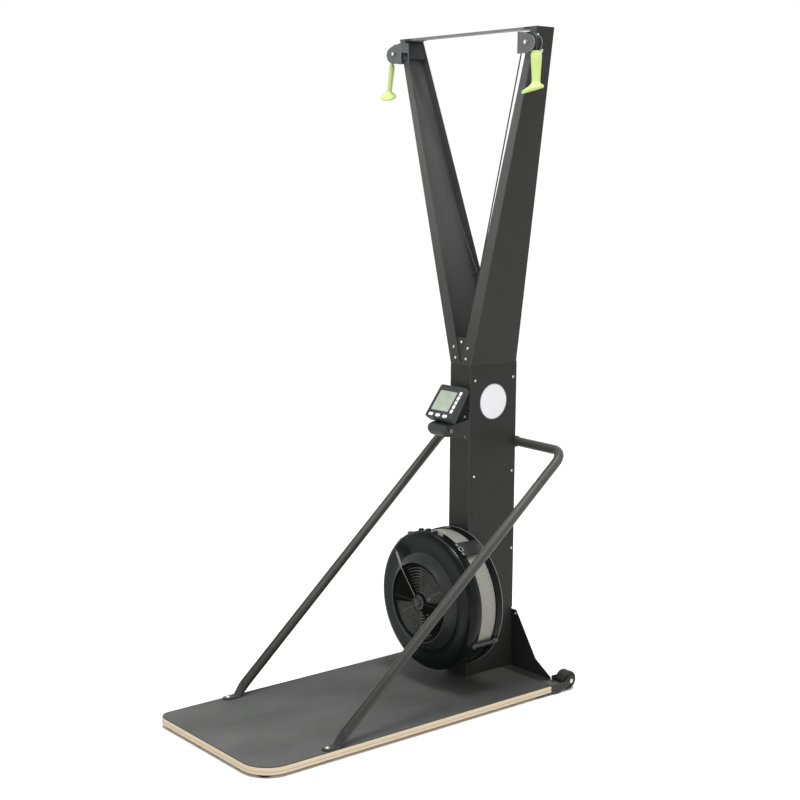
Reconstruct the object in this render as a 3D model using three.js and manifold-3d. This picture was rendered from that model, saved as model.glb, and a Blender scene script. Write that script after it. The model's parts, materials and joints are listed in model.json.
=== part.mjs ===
// A standing ski trainer: a fan with a flywheel at the foot of a forked steel tower, two pull
// cords over pulleys at the tips of the fork, a plywood deck and two slanted side braces.
// Millimetres, +Z up. X runs across the machine and +Y from the user towards the tower.
// Heights start at the floor; while it is built, y starts at the free end of the deck.

import * as THREE from 'three';
import { mergeVertices } from 'three/addons/utils/BufferGeometryUtils.js';
import Module from 'manifold-3d';

const wasm = await Module();
wasm.setup();

// Fits that every sub-part shares
const seatGap = 0.3;
const cutOverrun = 4;
const sheet = 3;
const fineSegments = 40;
const coarseSegments = 20;
const smallSegments = 12;
const arcSteps = 4;
const keySteps = 2;

// Deck
const deckWidth = 588;
const deckLength = 1180;
const deckCornerRadius = 95;
const deckFarCornerRadius = 42;
const boardThickness = 22;
const matThickness = 3;
const matInset = 1.5;
const footHeight = 10;
const footRadius = 20;
const footInset = 48;

// Rear beam, its lip under the board, and the transport wheels behind it
const beamDepth = 40;
const beamEndInset = 1;
const beamLipReach = 62;
const wheelRadius = 31.5;
const wheelWidth = 37;
const wheelHeight = 34;
const wheelSideInset = 3;
const wheelRunGap = 12;
const wheelAxleRadius = 6;
const wheelHubRadius = 15;
const wheelTreadCrown = 3;
const wheelHubRecess = 4;
const wheelAxleHead = 4;
const wheelAxleHeadRadius = 9;
const sidePlateBottom = 3.5;
const sidePlateToe = 18;
const sidePlateRise = 9;
const sidePlateEnd = 17;
const innerCheekHalf = 15;

// Tower column
const columnWidth = 100;
const columnFront = 1010;
const columnDepth = 210;
const seamHeight = 1077;
const returnWidth = 14;
const coverThickness = 2;
const coverFootGap = 6;
const basePlateThickness = 4;

// Gusset plate behind the foot of the column
const gussetTop = 203;
const gussetTopHalf = 71;
const gussetWaist = 52;
const gussetWaistInset = 75;
const gussetFoot = 6;
const gussetEndInset = 48;

// Forked arms
const armTopRise = 51;
const armTopReach = 333;
const armTopDepth = 76;
const frontFlangeTop = 27;
const rearFlange = 34;
const middleGap = 0.6;

// Junction plate behind the arms' front flanges
const plateLowDepth = 110;
const plateHighRise = 89;
const plateLowHalf = 40;

// Crossbar between the tips of the arms
const barDepth = 26;
const barThickness = 8;
const barFlare = 85;
const headHeight = 66;
const headDrop = 2;

// Top pulleys in their brackets
const cordRadius = 2.2;
const pulleyReach = 322;
const pulleyHeight = 2106;
const pulleyCordRadius = 29;
const pulleyFlangeRadius = 32.5;
const pulleyWidth = 18;
const pulleyLip = 3;
const pulleyAxleRadius = 5;
const cheekPoints = [
  [-38, -33], [4, -32], [18, -28.5], [29, -22], [36, -12], [38.5, -1],
  [36, 9], [28, 17.5], [14, 24], [-12, 30], [-38, 35],
];
const cheekGap = 29;
const cheekWallFoot = 3;
const axleHeadRadius = 8;
const axleHead = 5;

// Cord guide: a mast that stands in the column and holds two rollers above the fork
const guideRise = 298;
const guideY = 1085;
const guideCordHalf = 5;
const guideCordRadius = 9.5;
const guideFlangeRadius = 12;
const guideWidth = 12;
const guidePinRadius = 4;
const guidePinHead = 3;
const guidePinHeadRadius = 7;
const mastY = 1110;
const mastHalf = 28;
const mastTopRise = 15;
const mastWingDrop = 92;
const mastShoulderDrop = 15;

// Drums, drive shaft and bearings inside the foot of the column
const fanHeight = 284;
const shaftRadius = 8;
const drumCordRadius = 28;
const drumFlangeRadius = 34;
const drumFlange = 2;
const drumWinding = 11;
const returnWinding = 7;
const returnCordRadius = 16.5;
const returnFlangeRadius = 20;
const frontDrumY = 1048;
const drumSpacing = 34;
const bearingRadius = 22;
const bearingFlangeRadius = 31;
const bearingLength = 14;
const bearingFlange = 4;
const bearingBlockY = 1128;
const bearingBlockDepth = 14;
const bearingBlockHeight = 64;

// Fan housing, grille, damper and flywheel
const fanRadius = 237;
const inletFront = 833;
const inletRadius = 137;
const inletFootRadius = 162.5;
const faceY = 863;
const shoulderRadius = 22;
const bandFront = 908;
const bandRear = 976;
const rearRim = 1004;
const rearDrop = 3;
const rearWallRadius = 200;
const shell = 3;
const bandThickness = 1.5;
const bandInset = 8;
const grilleDepth = 14;
const grilleBar = 4;
const grillePitch = 23;
const grilleInner = 40;
const grilleSpokes = 6;
const hubRadius = 27;
const bossRadius = 13;
const bossFront = 830;
const damperFront = 837;
const damperThickness = 2.5;
const damperGap = 4;
const damperHubRadius = 30;
const leverWidth = 6;
const leverLength = 205;
const leverRibFoot = 20;
const leverFront = 829;
const leverThickness = 3;
const leverDrop = 7;
const leverAngle = 129;
const damperOpenAngles = [[10, 124], [190, 304]];
const tieWidth = 24;
const tieHeight = 9;
const tieOverlap = 14;
const tieAngles = [56, 153, 236, 333];
const tieWidthShares = [2.4, 1, 1, 1];
const flywheelRadius = 205;
const flywheelFront = 882;
const flywheelDisc = 6;
const flywheelRim = 20;
const flywheelRimDepth = 34;
const flywheelHubRadius = 28;
const flywheelHubDepth = 44;
const bladeCount = 12;
const bladeThickness = 2.5;
const bladeDepth = 52;
const bladeInner = 60;
const bladeTipGap = 24;

// Side braces and the crossbar tube behind the column
const tubeRadius = 16;
const tubeWall = 2;
const tubeSides = 12;
const braceFootReach = 275;
const braceFootY = 287;
const braceTopDrop = 282;
const cornerReach = 297;
const cornerY = 1210;
const cornerRise = 5;
const crossbarFlatHalf = 58;
const braceJointShare = 0.885;
const bendRadius = 55;
const bendSteps = 6;
const spigotLength = 50;
const footTab = 5;
const footTabLength = 68;
const footTabHalf = 17;
const flattenLength = 46;
const footBoltRadius = 5;

// Handles and their cord stops
const handleTurn = 50.8;
const handleDrop = 34;
const stopRadius = 6.5;
const stopHeight = 8;
const cordBoreRadius = 2.6;
const handleSides = 18;
const handleLevels = [0, 3, 11, 33, 56, 78, 88, 96, 103, 109, 113];
const handleHalfWidths = [14, 18, 19.5, 17.5, 14.5, 13.5, 15.5, 24, 35, 39, 36];
const handleHalfDepths = [6, 8.5, 9.5, 9, 8.4, 8.4, 9.5, 17, 25, 26.5, 22];
const handleBows = [0, 0, 0.5, 2.5, 5, 8, 9.5, 10, 10, 10, 10];
const handleFootShifts = [0, 0, 0, 0, 0, 0, -1, -5, -10, -10, -10];
const handleFootTiltShares = [0, 0, 0, 0, 0, 0.05, 0.16, 0.26, 0.3, 0.3, 0.3];

// Console
const pivotY = 927;
const pivotDrop = 212;
const consoleTilt = 36.6;
const consoleWidth = 130;
const consoleHeight = 126;
const consoleCorner = 9;
const consoleTopThickness = 20;
const consoleFootThickness = 32;
const faceRise = 20.5;
const faceProud = 39;
const barrelRadius = 23;
const barrelHalf = 45;
const neckHalf = 30;
const neckBack = 8;
const neckOverlap = 10;
const pivotRadius = 4;
const pivotHeadRadius = 7;
const pivotHead = 5;
const earThickness = 4;
const earRadius = 17;
const earRoot = 58;
const bracketHalf = 49.3;
const bracketDrop = 43;
const bracketRise = 53;
const screenWidth = 84;
const screenHeight = 75;
const screenShift = -9;
const screenRise = 66;
const screenThickness = 2;
const screenProud = 0.4;
const buttonProud = 1.6;
const buttonDepth = 3.5;
const buttonTravel = 1.2;
const buttonFit = 0.4;
const ovalWidth = 21;
const ovalHeight = 11;
const ovalPitch = 35;
const ovalShift = -3;
const ovalRise = 11;
const keyWidth = 11;
const keyHeight = 14;
const keyCorner = 3;
const keyPitch = 17;
const keyShift = 51;
const keyRise = 32;
const ovalCount = 3;
const keyCount = 5;

// Heights and places worked out from the sizes above
const boardBottom = footHeight + seatGap;
const boardTop = boardBottom + boardThickness;
const matBottom = boardTop + seatGap;
const deckTop = matBottom + matThickness;
const beamFront = deckLength + seatGap;
const beamRear = beamFront + beamDepth;
const beamHalf = deckWidth / 2 - beamEndInset;
const columnHalf = columnWidth / 2;
const columnRear = columnFront + columnDepth;
const seam = deckTop + seamHeight;
const gussetFootHalf = deckWidth / 2 - gussetEndInset;
const gussetWaistHalf = gussetFootHalf - gussetWaistInset;
const gussetFront = Math.max(columnRear, beamRear) + seatGap;
const coverFront = columnRear + seatGap;
const coverBottom = deckTop + gussetTop + coverFootGap;
const wheelCentreY = gussetFront + sheet + wheelRunGap + wheelRadius;
const machineLength = wheelCentreY + wheelRadius;
const armTop = pulleyHeight + armTopRise;
const tipHeight = deckTop + armTop;
const armLean = Math.atan((armTopReach - columnHalf) / (armTop - seamHeight));
const webWidth = sheet / Math.cos(armLean);
const armRearTop = columnFront + armTopDepth;
const pulleyZ = deckTop + pulleyHeight;
const pulleyBackY = columnFront - seatGap - sheet;
const pulleyY = pulleyBackY - cheekGap / 2;
const handleX = pulleyReach + pulleyCordRadius;
const handleTopZ = pulleyZ - handleDrop;
const guideZ = seam + guideRise;
const mastWingLow = seam - mastWingDrop;
const mastWingHigh = seam - mastShoulderDrop;
const guideX = guideCordHalf + guideCordRadius;
const fanZ = deckTop + fanHeight;
const rearDrumY = frontDrumY + drumSpacing;
const drumDepth = drumFlange * 3 + drumWinding + returnWinding;
const windingCentre = drumFlange + drumWinding / 2;
const returnCentre = drumFlange * 2 + drumWinding + returnWinding / 2;
const tubeY = coverFront + coverThickness + seatGap + tubeRadius;
const braceTopZ = seam - braceTopDrop;
const pivotZ = seam - pivotDrop;
const degree = Math.PI / 180;

const finishes = {
  plywood: { color: 0xcdb48c, roughness: 0.6, metalness: 0 },
  rubber: { color: 0x2b2b2a, roughness: 0.9, metalness: 0 },
  matTop: { color: 0x4a4b49, roughness: 0.92, metalness: 0 },
  blackSteel: { color: 0x3a3b3a, roughness: 0.5, metalness: 0.3 },
  darkSteel: { color: 0x232423, roughness: 0.55, metalness: 0.3 },
  greySteel: { color: 0x6a6b69, roughness: 0.45, metalness: 0.6 },
  brightSteel: { color: 0xb9babb, roughness: 0.3, metalness: 0.9 },
  blackPlastic: { color: 0x1f2221, roughness: 0.45, metalness: 0 },
  greyMesh: { color: 0xa3a39c, roughness: 0.5, metalness: 0.5 },
  lime: { color: 0xb9e34a, roughness: 0.5, metalness: 0 },
  consoleGrey: { color: 0x4e534f, roughness: 0.5, metalness: 0 },
  screenGlass: { color: 0xb9c3b2, roughness: 0.25, metalness: 0 },
  whiteRubber: { color: 0xeef0ee, roughness: 0.6, metalness: 0 },
  cordBlack: { color: 0x3b3b3b, roughness: 0.8, metalness: 0 },
  elastic: { color: 0x2f3436, roughness: 0.85, metalness: 0 },
};

const machine = new THREE.Group();
machine.position.y = -machineLength / 2;

function addPiece(name, geometry, finish, parent = machine) {
  const mesh = new THREE.Mesh(geometry, new THREE.MeshStandardMaterial(finishes[finish]));
  mesh.name = name;
  parent.add(mesh);
  return mesh;
}

// Position-only geometry with shared vertices, no flat triangles, and its faces pointing out
function welded(geometry) {
  const bare = geometry.clone();
  bare.deleteAttribute('normal');
  bare.deleteAttribute('uv');
  const merged = mergeVertices(bare);
  const kept = [];
  const corners = merged.index.array;
  for (let i = 0; i < corners.length; i += 3) {
    const [a, b, c] = [corners[i], corners[i + 1], corners[i + 2]];
    if (a !== b && b !== c && c !== a) {
      kept.push(a, b, c);
    }
  }
  if (signedVolume(merged.attributes.position, kept) < 0) {
    for (let i = 0; i < kept.length; i += 3) {
      [kept[i], kept[i + 1]] = [kept[i + 1], kept[i]];
    }
  }
  merged.setIndex(kept);
  return merged;
}

function signedVolume(position, index) {
  const corner = [new THREE.Vector3(), new THREE.Vector3(), new THREE.Vector3()];
  let sum = 0;
  for (let i = 0; i < index.length; i += 3) {
    corner.forEach((point, k) => point.fromBufferAttribute(position, index[i + k]));
    sum += corner[0].dot(corner[1].clone().cross(corner[2])) / 6;
  }
  return sum;
}

function solidOf(geometry) {
  const clean = welded(geometry);
  return new wasm.Manifold(new wasm.Mesh({
    numProp: 3,
    vertProperties: Float32Array.from(clean.attributes.position.array),
    triVerts: Uint32Array.from(clean.index.array),
  }));
}

function geometryOf(solid) {
  const mesh = solid.getMesh();
  const geometry = new THREE.BufferGeometry();
  geometry.setAttribute('position', new THREE.Float32BufferAttribute(mesh.vertProperties, 3));
  geometry.setIndex(Array.from(mesh.triVerts));
  geometry.computeVertexNormals();
  return geometry;
}

function join(...geometries) {
  return geometryOf(geometries.map(solidOf).reduce((whole, solid) => whole.add(solid)));
}

function cut(base, ...tools) {
  return geometryOf(tools.map(solidOf).reduce((rest, tool) => rest.subtract(tool), solidOf(base)));
}

function common(...geometries) {
  return geometryOf(geometries.map(solidOf).reduce((whole, solid) => whole.intersect(solid)));
}

function block(x0, x1, y0, y1, z0, z1) {
  const box = new THREE.BoxGeometry(x1 - x0, y1 - y0, z1 - z0);
  return box.translate((x0 + x1) / 2, (y0 + y1) / 2, (z0 + z1) / 2);
}

function outline(points) {
  return new THREE.Shape(points.map(([a, b]) => new THREE.Vector2(a, b)));
}

function extruded(shape, depth, curveSegments = arcSteps) {
  return new THREE.ExtrudeGeometry(shape, { depth, bevelEnabled: false, curveSegments });
}

// A front view outline (x, z) given depth along y
function acrossY(shape, y0, y1, curveSegments) {
  return extruded(shape, y1 - y0, curveSegments).rotateX(Math.PI / 2).translate(0, y1, 0);
}

// A side view outline (y, z) given depth along x
function acrossX(shape, x0, x1, curveSegments) {
  const turn = new THREE.Matrix4().makeBasis(
    new THREE.Vector3(0, 1, 0),
    new THREE.Vector3(0, 0, 1),
    new THREE.Vector3(1, 0, 0),
  );
  return extruded(shape, x1 - x0, curveSegments).applyMatrix4(turn).translate(x0, 0, 0);
}

// A closed profile of (radius, y) points turned about the y axis
function turnedY(profile, segments = coarseSegments) {
  const closed = profile[0][0] === 0 && profile[profile.length - 1][0] === 0
    ? profile
    : [...profile, profile[0]];
  const points = closed.map(([radius, y]) => new THREE.Vector2(radius, y));
  return welded(new THREE.LatheGeometry(points, segments));
}

function ringY(inner, outer, y0, y1, segments) {
  return turnedY([[inner, y0], [outer, y0], [outer, y1], [inner, y1]], segments);
}

function discY(radius, y0, y1, segments) {
  return turnedY([[0, y0], [radius, y0], [radius, y1], [0, y1]], segments);
}

function discX(radius, x0, x1, segments) {
  return discY(radius, x0, x1, segments).rotateZ(-Math.PI / 2);
}

function discZ(radius, z0, z1, segments) {
  return discY(radius, z0, z1, segments).rotateX(Math.PI / 2);
}

function roundedPlate(halfWidth, halfHeight, radius) {
  const shape = new THREE.Shape();
  shape.moveTo(-halfWidth, radius - halfHeight);
  shape.absarc(radius - halfWidth, radius - halfHeight, radius, Math.PI, 1.5 * Math.PI);
  shape.absarc(halfWidth - radius, radius - halfHeight, radius, 1.5 * Math.PI, 2 * Math.PI);
  shape.absarc(halfWidth - radius, halfHeight - radius, radius, 0, 0.5 * Math.PI);
  shape.absarc(radius - halfWidth, halfHeight - radius, radius, 0.5 * Math.PI, Math.PI);
  return shape;
}

// A solid through rings of points, each ring of the same count, with flat ends
function lofted(rings) {
  const count = rings[0].length;
  const points = rings.flat();
  const index = [];
  for (let level = 0; level + 1 < rings.length; level += 1) {
    for (let i = 0; i < count; i += 1) {
      const here = level * count + i;
      const next = level * count + (i + 1) % count;
      index.push(here, next, next + count, here, next + count, here + count);
    }
  }
  for (const level of [0, rings.length - 1]) {
    const first = level * count;
    for (let i = 1; i + 1 < count; i += 1) {
      const fan = [first, first + i, first + i + 1];
      index.push(...(level === 0 ? fan.reverse() : fan));
    }
  }
  const geometry = new THREE.BufferGeometry().setFromPoints(points);
  geometry.setIndex(index);
  return welded(geometry);
}

// A path that passes through each of its stations, one step of a sweep apart
class StationPath extends THREE.Curve {
  constructor(stations) {
    super();
    this.stations = stations;
  }

  getPoint(share, target = new THREE.Vector3()) {
    const place = share * (this.stations.length - 1);
    const low = Math.min(Math.floor(place), this.stations.length - 2);
    return target.lerpVectors(this.stations[low], this.stations[low + 1], place - low);
  }

  getPointAt(share, target) {
    return this.getPoint(share, target);
  }

  getTangentAt(share, target = new THREE.Vector3()) {
    const last = this.stations.length - 1;
    const near = Math.round(share * last);
    const before = this.stations[Math.max(near - 1, 0)];
    const here = this.stations[near];
    const after = this.stations[Math.min(near + 1, last)];
    const arriving = near > 0 ? here.clone().sub(before).normalize() : new THREE.Vector3();
    const leaving = near < last ? after.clone().sub(here).normalize() : new THREE.Vector3();
    return target.copy(arriving).add(leaving).normalize();
  }

  getSpacedPoints() {
    return this.stations;
  }
}

function swept(stations, radius, sides, bore = 0) {
  const ring = (size) => Array.from({ length: sides }, (_, i) => {
    const turn = (2 * Math.PI * i) / sides;
    return new THREE.Vector2(size * Math.cos(turn), size * Math.sin(turn));
  });
  const shape = new THREE.Shape(ring(radius));
  if (bore > 0) {
    shape.holes.push(new THREE.Path(ring(bore)));
  }
  const extrudePath = new StationPath(stations);
  return new THREE.ExtrudeGeometry(shape, { steps: stations.length - 1, extrudePath });
}

function mirrored(geometry, side) {
  return side > 0 ? geometry : welded(geometry.clone().scale(-1, 1, 1));
}

const sides = [['left', -1], ['right', 1]];

function deckOutline(inset) {
  const half = deckWidth / 2 - inset;
  const radius = deckCornerRadius - inset;
  const farRadius = deckFarCornerRadius - inset;
  const rear = deckLength - inset;
  const shape = new THREE.Shape();
  shape.moveTo(-half, rear);
  shape.lineTo(-half, inset + farRadius);
  shape.absarc(farRadius - half, inset + farRadius, farRadius, Math.PI, 1.5 * Math.PI);
  shape.absarc(half - radius, inset + radius, radius, 1.5 * Math.PI, 2 * Math.PI);
  shape.lineTo(half, rear);
  return shape;
}

function addDeck() {
  const board = extruded(deckOutline(0), boardThickness, smallSegments).translate(0, 0, boardBottom);
  addPiece('deck_board', board, 'plywood');
  const mat = extruded(deckOutline(matInset), matThickness, smallSegments).translate(0, 0, matBottom);
  addPiece('deck_mat', mat, 'matTop');
  const footRearY = deckLength - beamLipReach - footRadius - seatGap;
  for (const [side, sign] of sides) {
    for (const [end, y] of [['front', footInset], ['rear', footRearY]]) {
      const foot = addPiece(`deck_foot_${end}_${side}`, discZ(footRadius, 0, footHeight), 'rubber');
      foot.position.set(sign * (deckWidth / 2 - footInset), y, 0);
    }
  }
}

function addRearBeam() {
  const bottom = boardBottom;
  const tube = cut(
    block(-beamHalf, beamHalf, beamFront, beamRear, bottom, deckTop),
    block(
      -beamHalf - cutOverrun, beamHalf + cutOverrun,
      beamFront + sheet, beamRear - sheet,
      bottom + sheet, deckTop - sheet,
    ),
  );
  const lipTop = boardBottom - seatGap;
  const lip = block(
    -beamHalf, beamHalf, deckLength - beamLipReach, beamRear, lipTop - sheet, lipTop,
  );
  const weld = block(-beamHalf, beamHalf, beamFront, beamRear, lipTop - sheet, bottom + sheet);
  addPiece('rear_beam', join(tube, lip, weld), 'darkSteel');
}

function addWheels() {
  const outer = deckWidth / 2 - wheelSideInset;
  const inner = outer - wheelWidth;
  const innerFace = inner - seatGap;
  const outerFace = beamHalf + seatGap;
  const plateFace = outerFace + sheet;
  for (const [side, sign] of sides) {
    const innerCheek = outline([
      [gussetFront, wheelHeight - innerCheekHalf],
      [wheelCentreY, wheelHeight - innerCheekHalf],
      [wheelCentreY + innerCheekHalf, wheelHeight],
      [wheelCentreY, wheelHeight + innerCheekHalf],
      [gussetFront, boardBottom + beamDepth],
    ]);
    const sidePlate = outline([
      [beamFront, deckTop],
      [beamFront, sidePlateBottom + sidePlateRise],
      [beamFront + sidePlateToe, sidePlateBottom],
      [beamRear, sidePlateBottom],
      [wheelCentreY - sidePlateEnd, sidePlateBottom + sidePlateRise],
      [wheelCentreY + sidePlateEnd, wheelHeight - sidePlateRise],
      [wheelCentreY + sidePlateEnd, wheelHeight + sidePlateRise],
      [wheelCentreY, wheelHeight + innerCheekHalf],
      [beamRear + sidePlateToe, deckTop],
    ]);
    const axle = discX(wheelAxleRadius, innerFace - sheet, plateFace + wheelAxleHead, smallSegments);
    const head = discX(wheelAxleHeadRadius, plateFace, plateFace + wheelAxleHead, smallSegments);
    const pin = join(axle, head).translate(0, wheelCentreY, wheelHeight);
    const flange = block(
      innerFace - sheet, plateFace, gussetFront, gussetFront + sheet, boardBottom, deckTop,
    );
    const bracket = join(
      acrossX(innerCheek, innerFace - sheet, innerFace),
      acrossX(sidePlate, outerFace, plateFace),
      pin,
      flange,
    );
    addPiece(`wheel_bracket_${side}`, mirrored(bracket, sign), 'darkSteel');
    const bore = wheelAxleRadius + seatGap;
    const edge = wheelRadius - wheelTreadCrown;
    const wheel = turnedY([
      [bore, inner],
      [wheelHubRadius, inner],
      [wheelHubRadius, inner + wheelHubRecess],
      [edge - wheelTreadCrown, inner + wheelHubRecess],
      [edge, inner],
      [wheelRadius, inner + wheelTreadCrown],
      [wheelRadius, outer - wheelTreadCrown],
      [edge, outer],
      [edge - wheelTreadCrown, outer - wheelHubRecess],
      [wheelHubRadius, outer - wheelHubRecess],
      [wheelHubRadius, outer],
      [bore, outer],
    ]).rotateZ(-Math.PI / 2);
    const rolled = mirrored(wheel, sign);
    const mesh = addPiece(`transport_wheel_${side}`, rolled, 'rubber');
    mesh.position.set(0, wheelCentreY, wheelHeight);
  }
}

function addGusset() {
  const half = [
    [gussetFootHalf, boardBottom],
    [gussetFootHalf, deckTop + gussetFoot],
    [gussetWaistHalf, deckTop + gussetWaist],
    [gussetTopHalf, deckTop + gussetTop],
  ];
  const other = half.map(([x, z]) => [-x, z]).reverse();
  const plate = acrossY(outline([...half, ...other]), gussetFront, gussetFront + sheet);
  addPiece('rear_gusset_plate', plate, 'darkSteel');
}

function addColumn() {
  const bottom = deckTop + seatGap;
  const section = new THREE.Shape();
  const inner = columnHalf - sheet;
  const returned = columnHalf - returnWidth;
  const turned = columnRear - sheet;
  [
    [-columnHalf, columnFront], [columnHalf, columnFront], [columnHalf, columnRear],
    [returned, columnRear], [returned, turned], [inner, turned],
    [inner, columnFront + sheet], [-inner, columnFront + sheet],
    [-inner, turned], [-returned, turned], [-returned, columnRear], [-columnHalf, columnRear],
  ].forEach(([x, y], i) => (i === 0 ? section.moveTo(x, y) : section.lineTo(x, y)));
  const channel = extruded(section, seam - seatGap - bottom).translate(0, 0, bottom);
  const base = block(
    -columnHalf, columnHalf,
    columnFront, columnRear,
    bottom, bottom + basePlateThickness,
  );
  const shaftHole = discY(
    bearingRadius + seatGap, columnFront - cutOverrun, columnFront + sheet + cutOverrun,
  ).translate(0, 0, fanZ);
  addPiece('tower_column', cut(join(channel, base), shaftHole), 'blackSteel');
  const cover = block(
    -columnHalf, columnHalf, coverFront, coverFront + coverThickness, coverBottom, seam - seatGap,
  );
  addPiece('column_back_cover', cover, 'darkSteel');
}

function armEdge(bottomX, topX) {
  return (z) => bottomX + ((topX - bottomX) * (z - seam)) / (tipHeight - seam);
}

const armOuter = armEdge(columnHalf, armTopReach);
const armRearLine = armEdge(columnRear, armRearTop);

function addArms() {
  const low = seam;
  const high = tipHeight;
  const strip = (insetLow, insetHigh) => outline([
    [columnHalf - insetLow, low],
    [columnHalf, low],
    [armTopReach, high],
    [armTopReach - insetHigh, high],
  ]);
  const sideView = outline([
    [columnFront, low], [columnRear, low], [armRearTop, high], [columnFront, high],
  ]);
  const rearLean = Math.cos(Math.atan((columnRear - armRearTop) / (high - low)));
  const rearStrip = outline([
    [columnRear - sheet / rearLean, low], [columnRear, low],
    [armRearTop, high], [armRearTop - sheet / rearLean, high],
  ]);
  const reach = armTopReach + cutOverrun;
  const depth = columnRear + cutOverrun;
  const flangeLow = columnHalf - middleGap / 2;
  const front = acrossY(strip(flangeLow, frontFlangeTop), columnFront, columnFront + sheet);
  const web = common(
    acrossY(strip(webWidth, webWidth), columnFront - cutOverrun, depth),
    acrossX(sideView, 0, reach),
  );
  const rear = common(
    acrossY(strip(rearFlange, rearFlange), columnFront - cutOverrun, depth),
    acrossX(rearStrip, 0, reach),
  );
  const arm = join(front, web, rear);
  for (const [side, sign] of sides) {
    addPiece(`arm_${side}`, mirrored(arm, sign), 'blackSteel');
  }
}

function addJunctionPlate() {
  const y = columnFront + sheet + seatGap;
  const top = seam + plateHighRise;
  const topHalf = armOuter(top) - webWidth - seatGap * 2;
  const seamHalf = columnHalf - webWidth - seatGap * 2;
  const half = [
    [plateLowHalf, seam - plateLowDepth],
    [seamHalf, seam],
    [topHalf, top],
  ];
  const other = half.map(([x, z]) => [-x, z]).reverse();
  addPiece('junction_plate', acrossY(outline([...half, ...other]), y, y + sheet), 'darkSteel');
}

function addTopCrossbar() {
  const high = tipHeight;
  const low = high - headHeight;
  const front = columnFront + sheet + seatGap;
  const inset = webWidth + seatGap;
  const rearAt = (z) => armRearLine(z) - sheet - seatGap * 2;
  const mouth = frontFlangeTop;
  const box = (margin, lower, upper) => common(
    acrossY(outline([
      [armOuter(lower) - mouth + margin, lower], [armOuter(lower) - inset - margin, lower],
      [armOuter(upper) - inset - margin, upper], [armOuter(upper) - mouth + margin, upper],
    ]), front - cutOverrun, columnRear),
    acrossX(outline([
      [front + margin, lower], [rearAt(lower) - margin, lower],
      [rearAt(upper) - margin, upper], [front + margin, upper],
    ]), 0, armTopReach + cutOverrun),
  );
  const under = high - barThickness;
  const head = cut(box(0, low, high), box(sheet, low - cutOverrun, under - headDrop));
  const barEnd = armOuter(under) - mouth + sheet;
  const middle = front + barDepth / 2;
  const plan = outline([
    [-barEnd, front], [barEnd, front], [barEnd, rearAt(high)],
    [barEnd - barFlare, middle + barDepth / 2], [barFlare - barEnd, middle + barDepth / 2],
    [-barEnd, rearAt(high)],
  ]);
  const bar = extruded(plan, barThickness).translate(0, 0, under);
  addPiece('top_crossbar', join(bar, head, mirrored(head, -1)), 'darkSteel');
}

function addTopPulleys() {
  const frontCheekY = pulleyBackY - cheekGap - sheet;
  const shape = outline(cheekPoints);
  const [[wallX], [, wallTop]] = [cheekPoints[0], cheekPoints[cheekPoints.length - 1]];
  const rearCheek = acrossY(shape, pulleyBackY, pulleyBackY + sheet, smallSegments);
  const frontCheek = acrossY(shape, frontCheekY, frontCheekY + sheet, smallSegments);
  const wall = block(
    wallX, wallX + sheet, frontCheekY, pulleyBackY + sheet, cheekWallFoot, wallTop,
  );
  const pin = discY(pulleyAxleRadius, frontCheekY, pulleyBackY + sheet, smallSegments);
  const head = discY(axleHeadRadius, frontCheekY - axleHead, frontCheekY, smallSegments);
  const bracket = join(rearCheek, frontCheek, common(wall, acrossY(shape, frontCheekY, columnFront)), pin, head);
  const half = pulleyWidth / 2;
  const groove = pulleyCordRadius - cordRadius - seatGap;
  const wheel = turnedY([
    [pulleyAxleRadius + seatGap, -half],
    [pulleyFlangeRadius, -half],
    [pulleyFlangeRadius, pulleyLip - half],
    [groove, -cordRadius],
    [groove, cordRadius],
    [pulleyFlangeRadius, half - pulleyLip],
    [pulleyFlangeRadius, half],
    [pulleyAxleRadius + seatGap, half],
  ]);
  for (const [side, sign] of sides) {
    const holder = addPiece(`pulley_bracket_${side}`, mirrored(bracket, sign), 'greySteel');
    holder.position.set(sign * pulleyReach, 0, pulleyZ);
    const pulley = addPiece(`top_pulley_${side}`, wheel, 'blackPlastic');
    pulley.position.set(sign * pulleyReach, pulleyY, pulleyZ);
  }
}

function addCordGuide() {
  const plate = outline([
    [-mastHalf, mastWingHigh], [-mastHalf, guideZ + mastTopRise],
    [mastHalf, guideZ + mastTopRise],
    [mastHalf, mastWingHigh],
    [columnHalf - sheet - seatGap, mastWingHigh],
    [columnHalf - sheet - seatGap, mastWingLow],
    [sheet + seatGap - columnHalf, mastWingLow],
    [sheet + seatGap - columnHalf, mastWingHigh],
  ]);
  const mast = acrossY(plate, mastY, mastY + sheet);
  const frontY = guideY - guideWidth / 2 - seatGap;
  const shank = discY(guidePinRadius, frontY - guidePinHead, mastY + sheet, smallSegments);
  const collar = discY(guidePinHeadRadius, frontY - guidePinHead, frontY, smallSegments);
  const spacer = discY(
    guidePinHeadRadius, guideY + guideWidth / 2 + seatGap, mastY + sheet, smallSegments,
  );
  const pin = join(shank, collar, spacer).translate(guideX, 0, guideZ);
  const bracket = join(mast, pin, mirrored(pin, -1));
  addPiece('cord_guide_mast', bracket, 'darkSteel');
  const half = guideWidth / 2;
  const groove = guideCordRadius - cordRadius - seatGap;
  const roller = turnedY([
    [guidePinRadius + seatGap, -half],
    [guideFlangeRadius, -half],
    [groove, -cordRadius],
    [groove, cordRadius],
    [guideFlangeRadius, half],
    [guidePinRadius + seatGap, half],
  ], smallSegments);
  for (const [side, sign] of sides) {
    const wheel = addPiece(`guide_roller_${side}`, roller, 'blackPlastic');
    wheel.position.set(sign * guideX, guideY, guideZ);
  }
}

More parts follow.
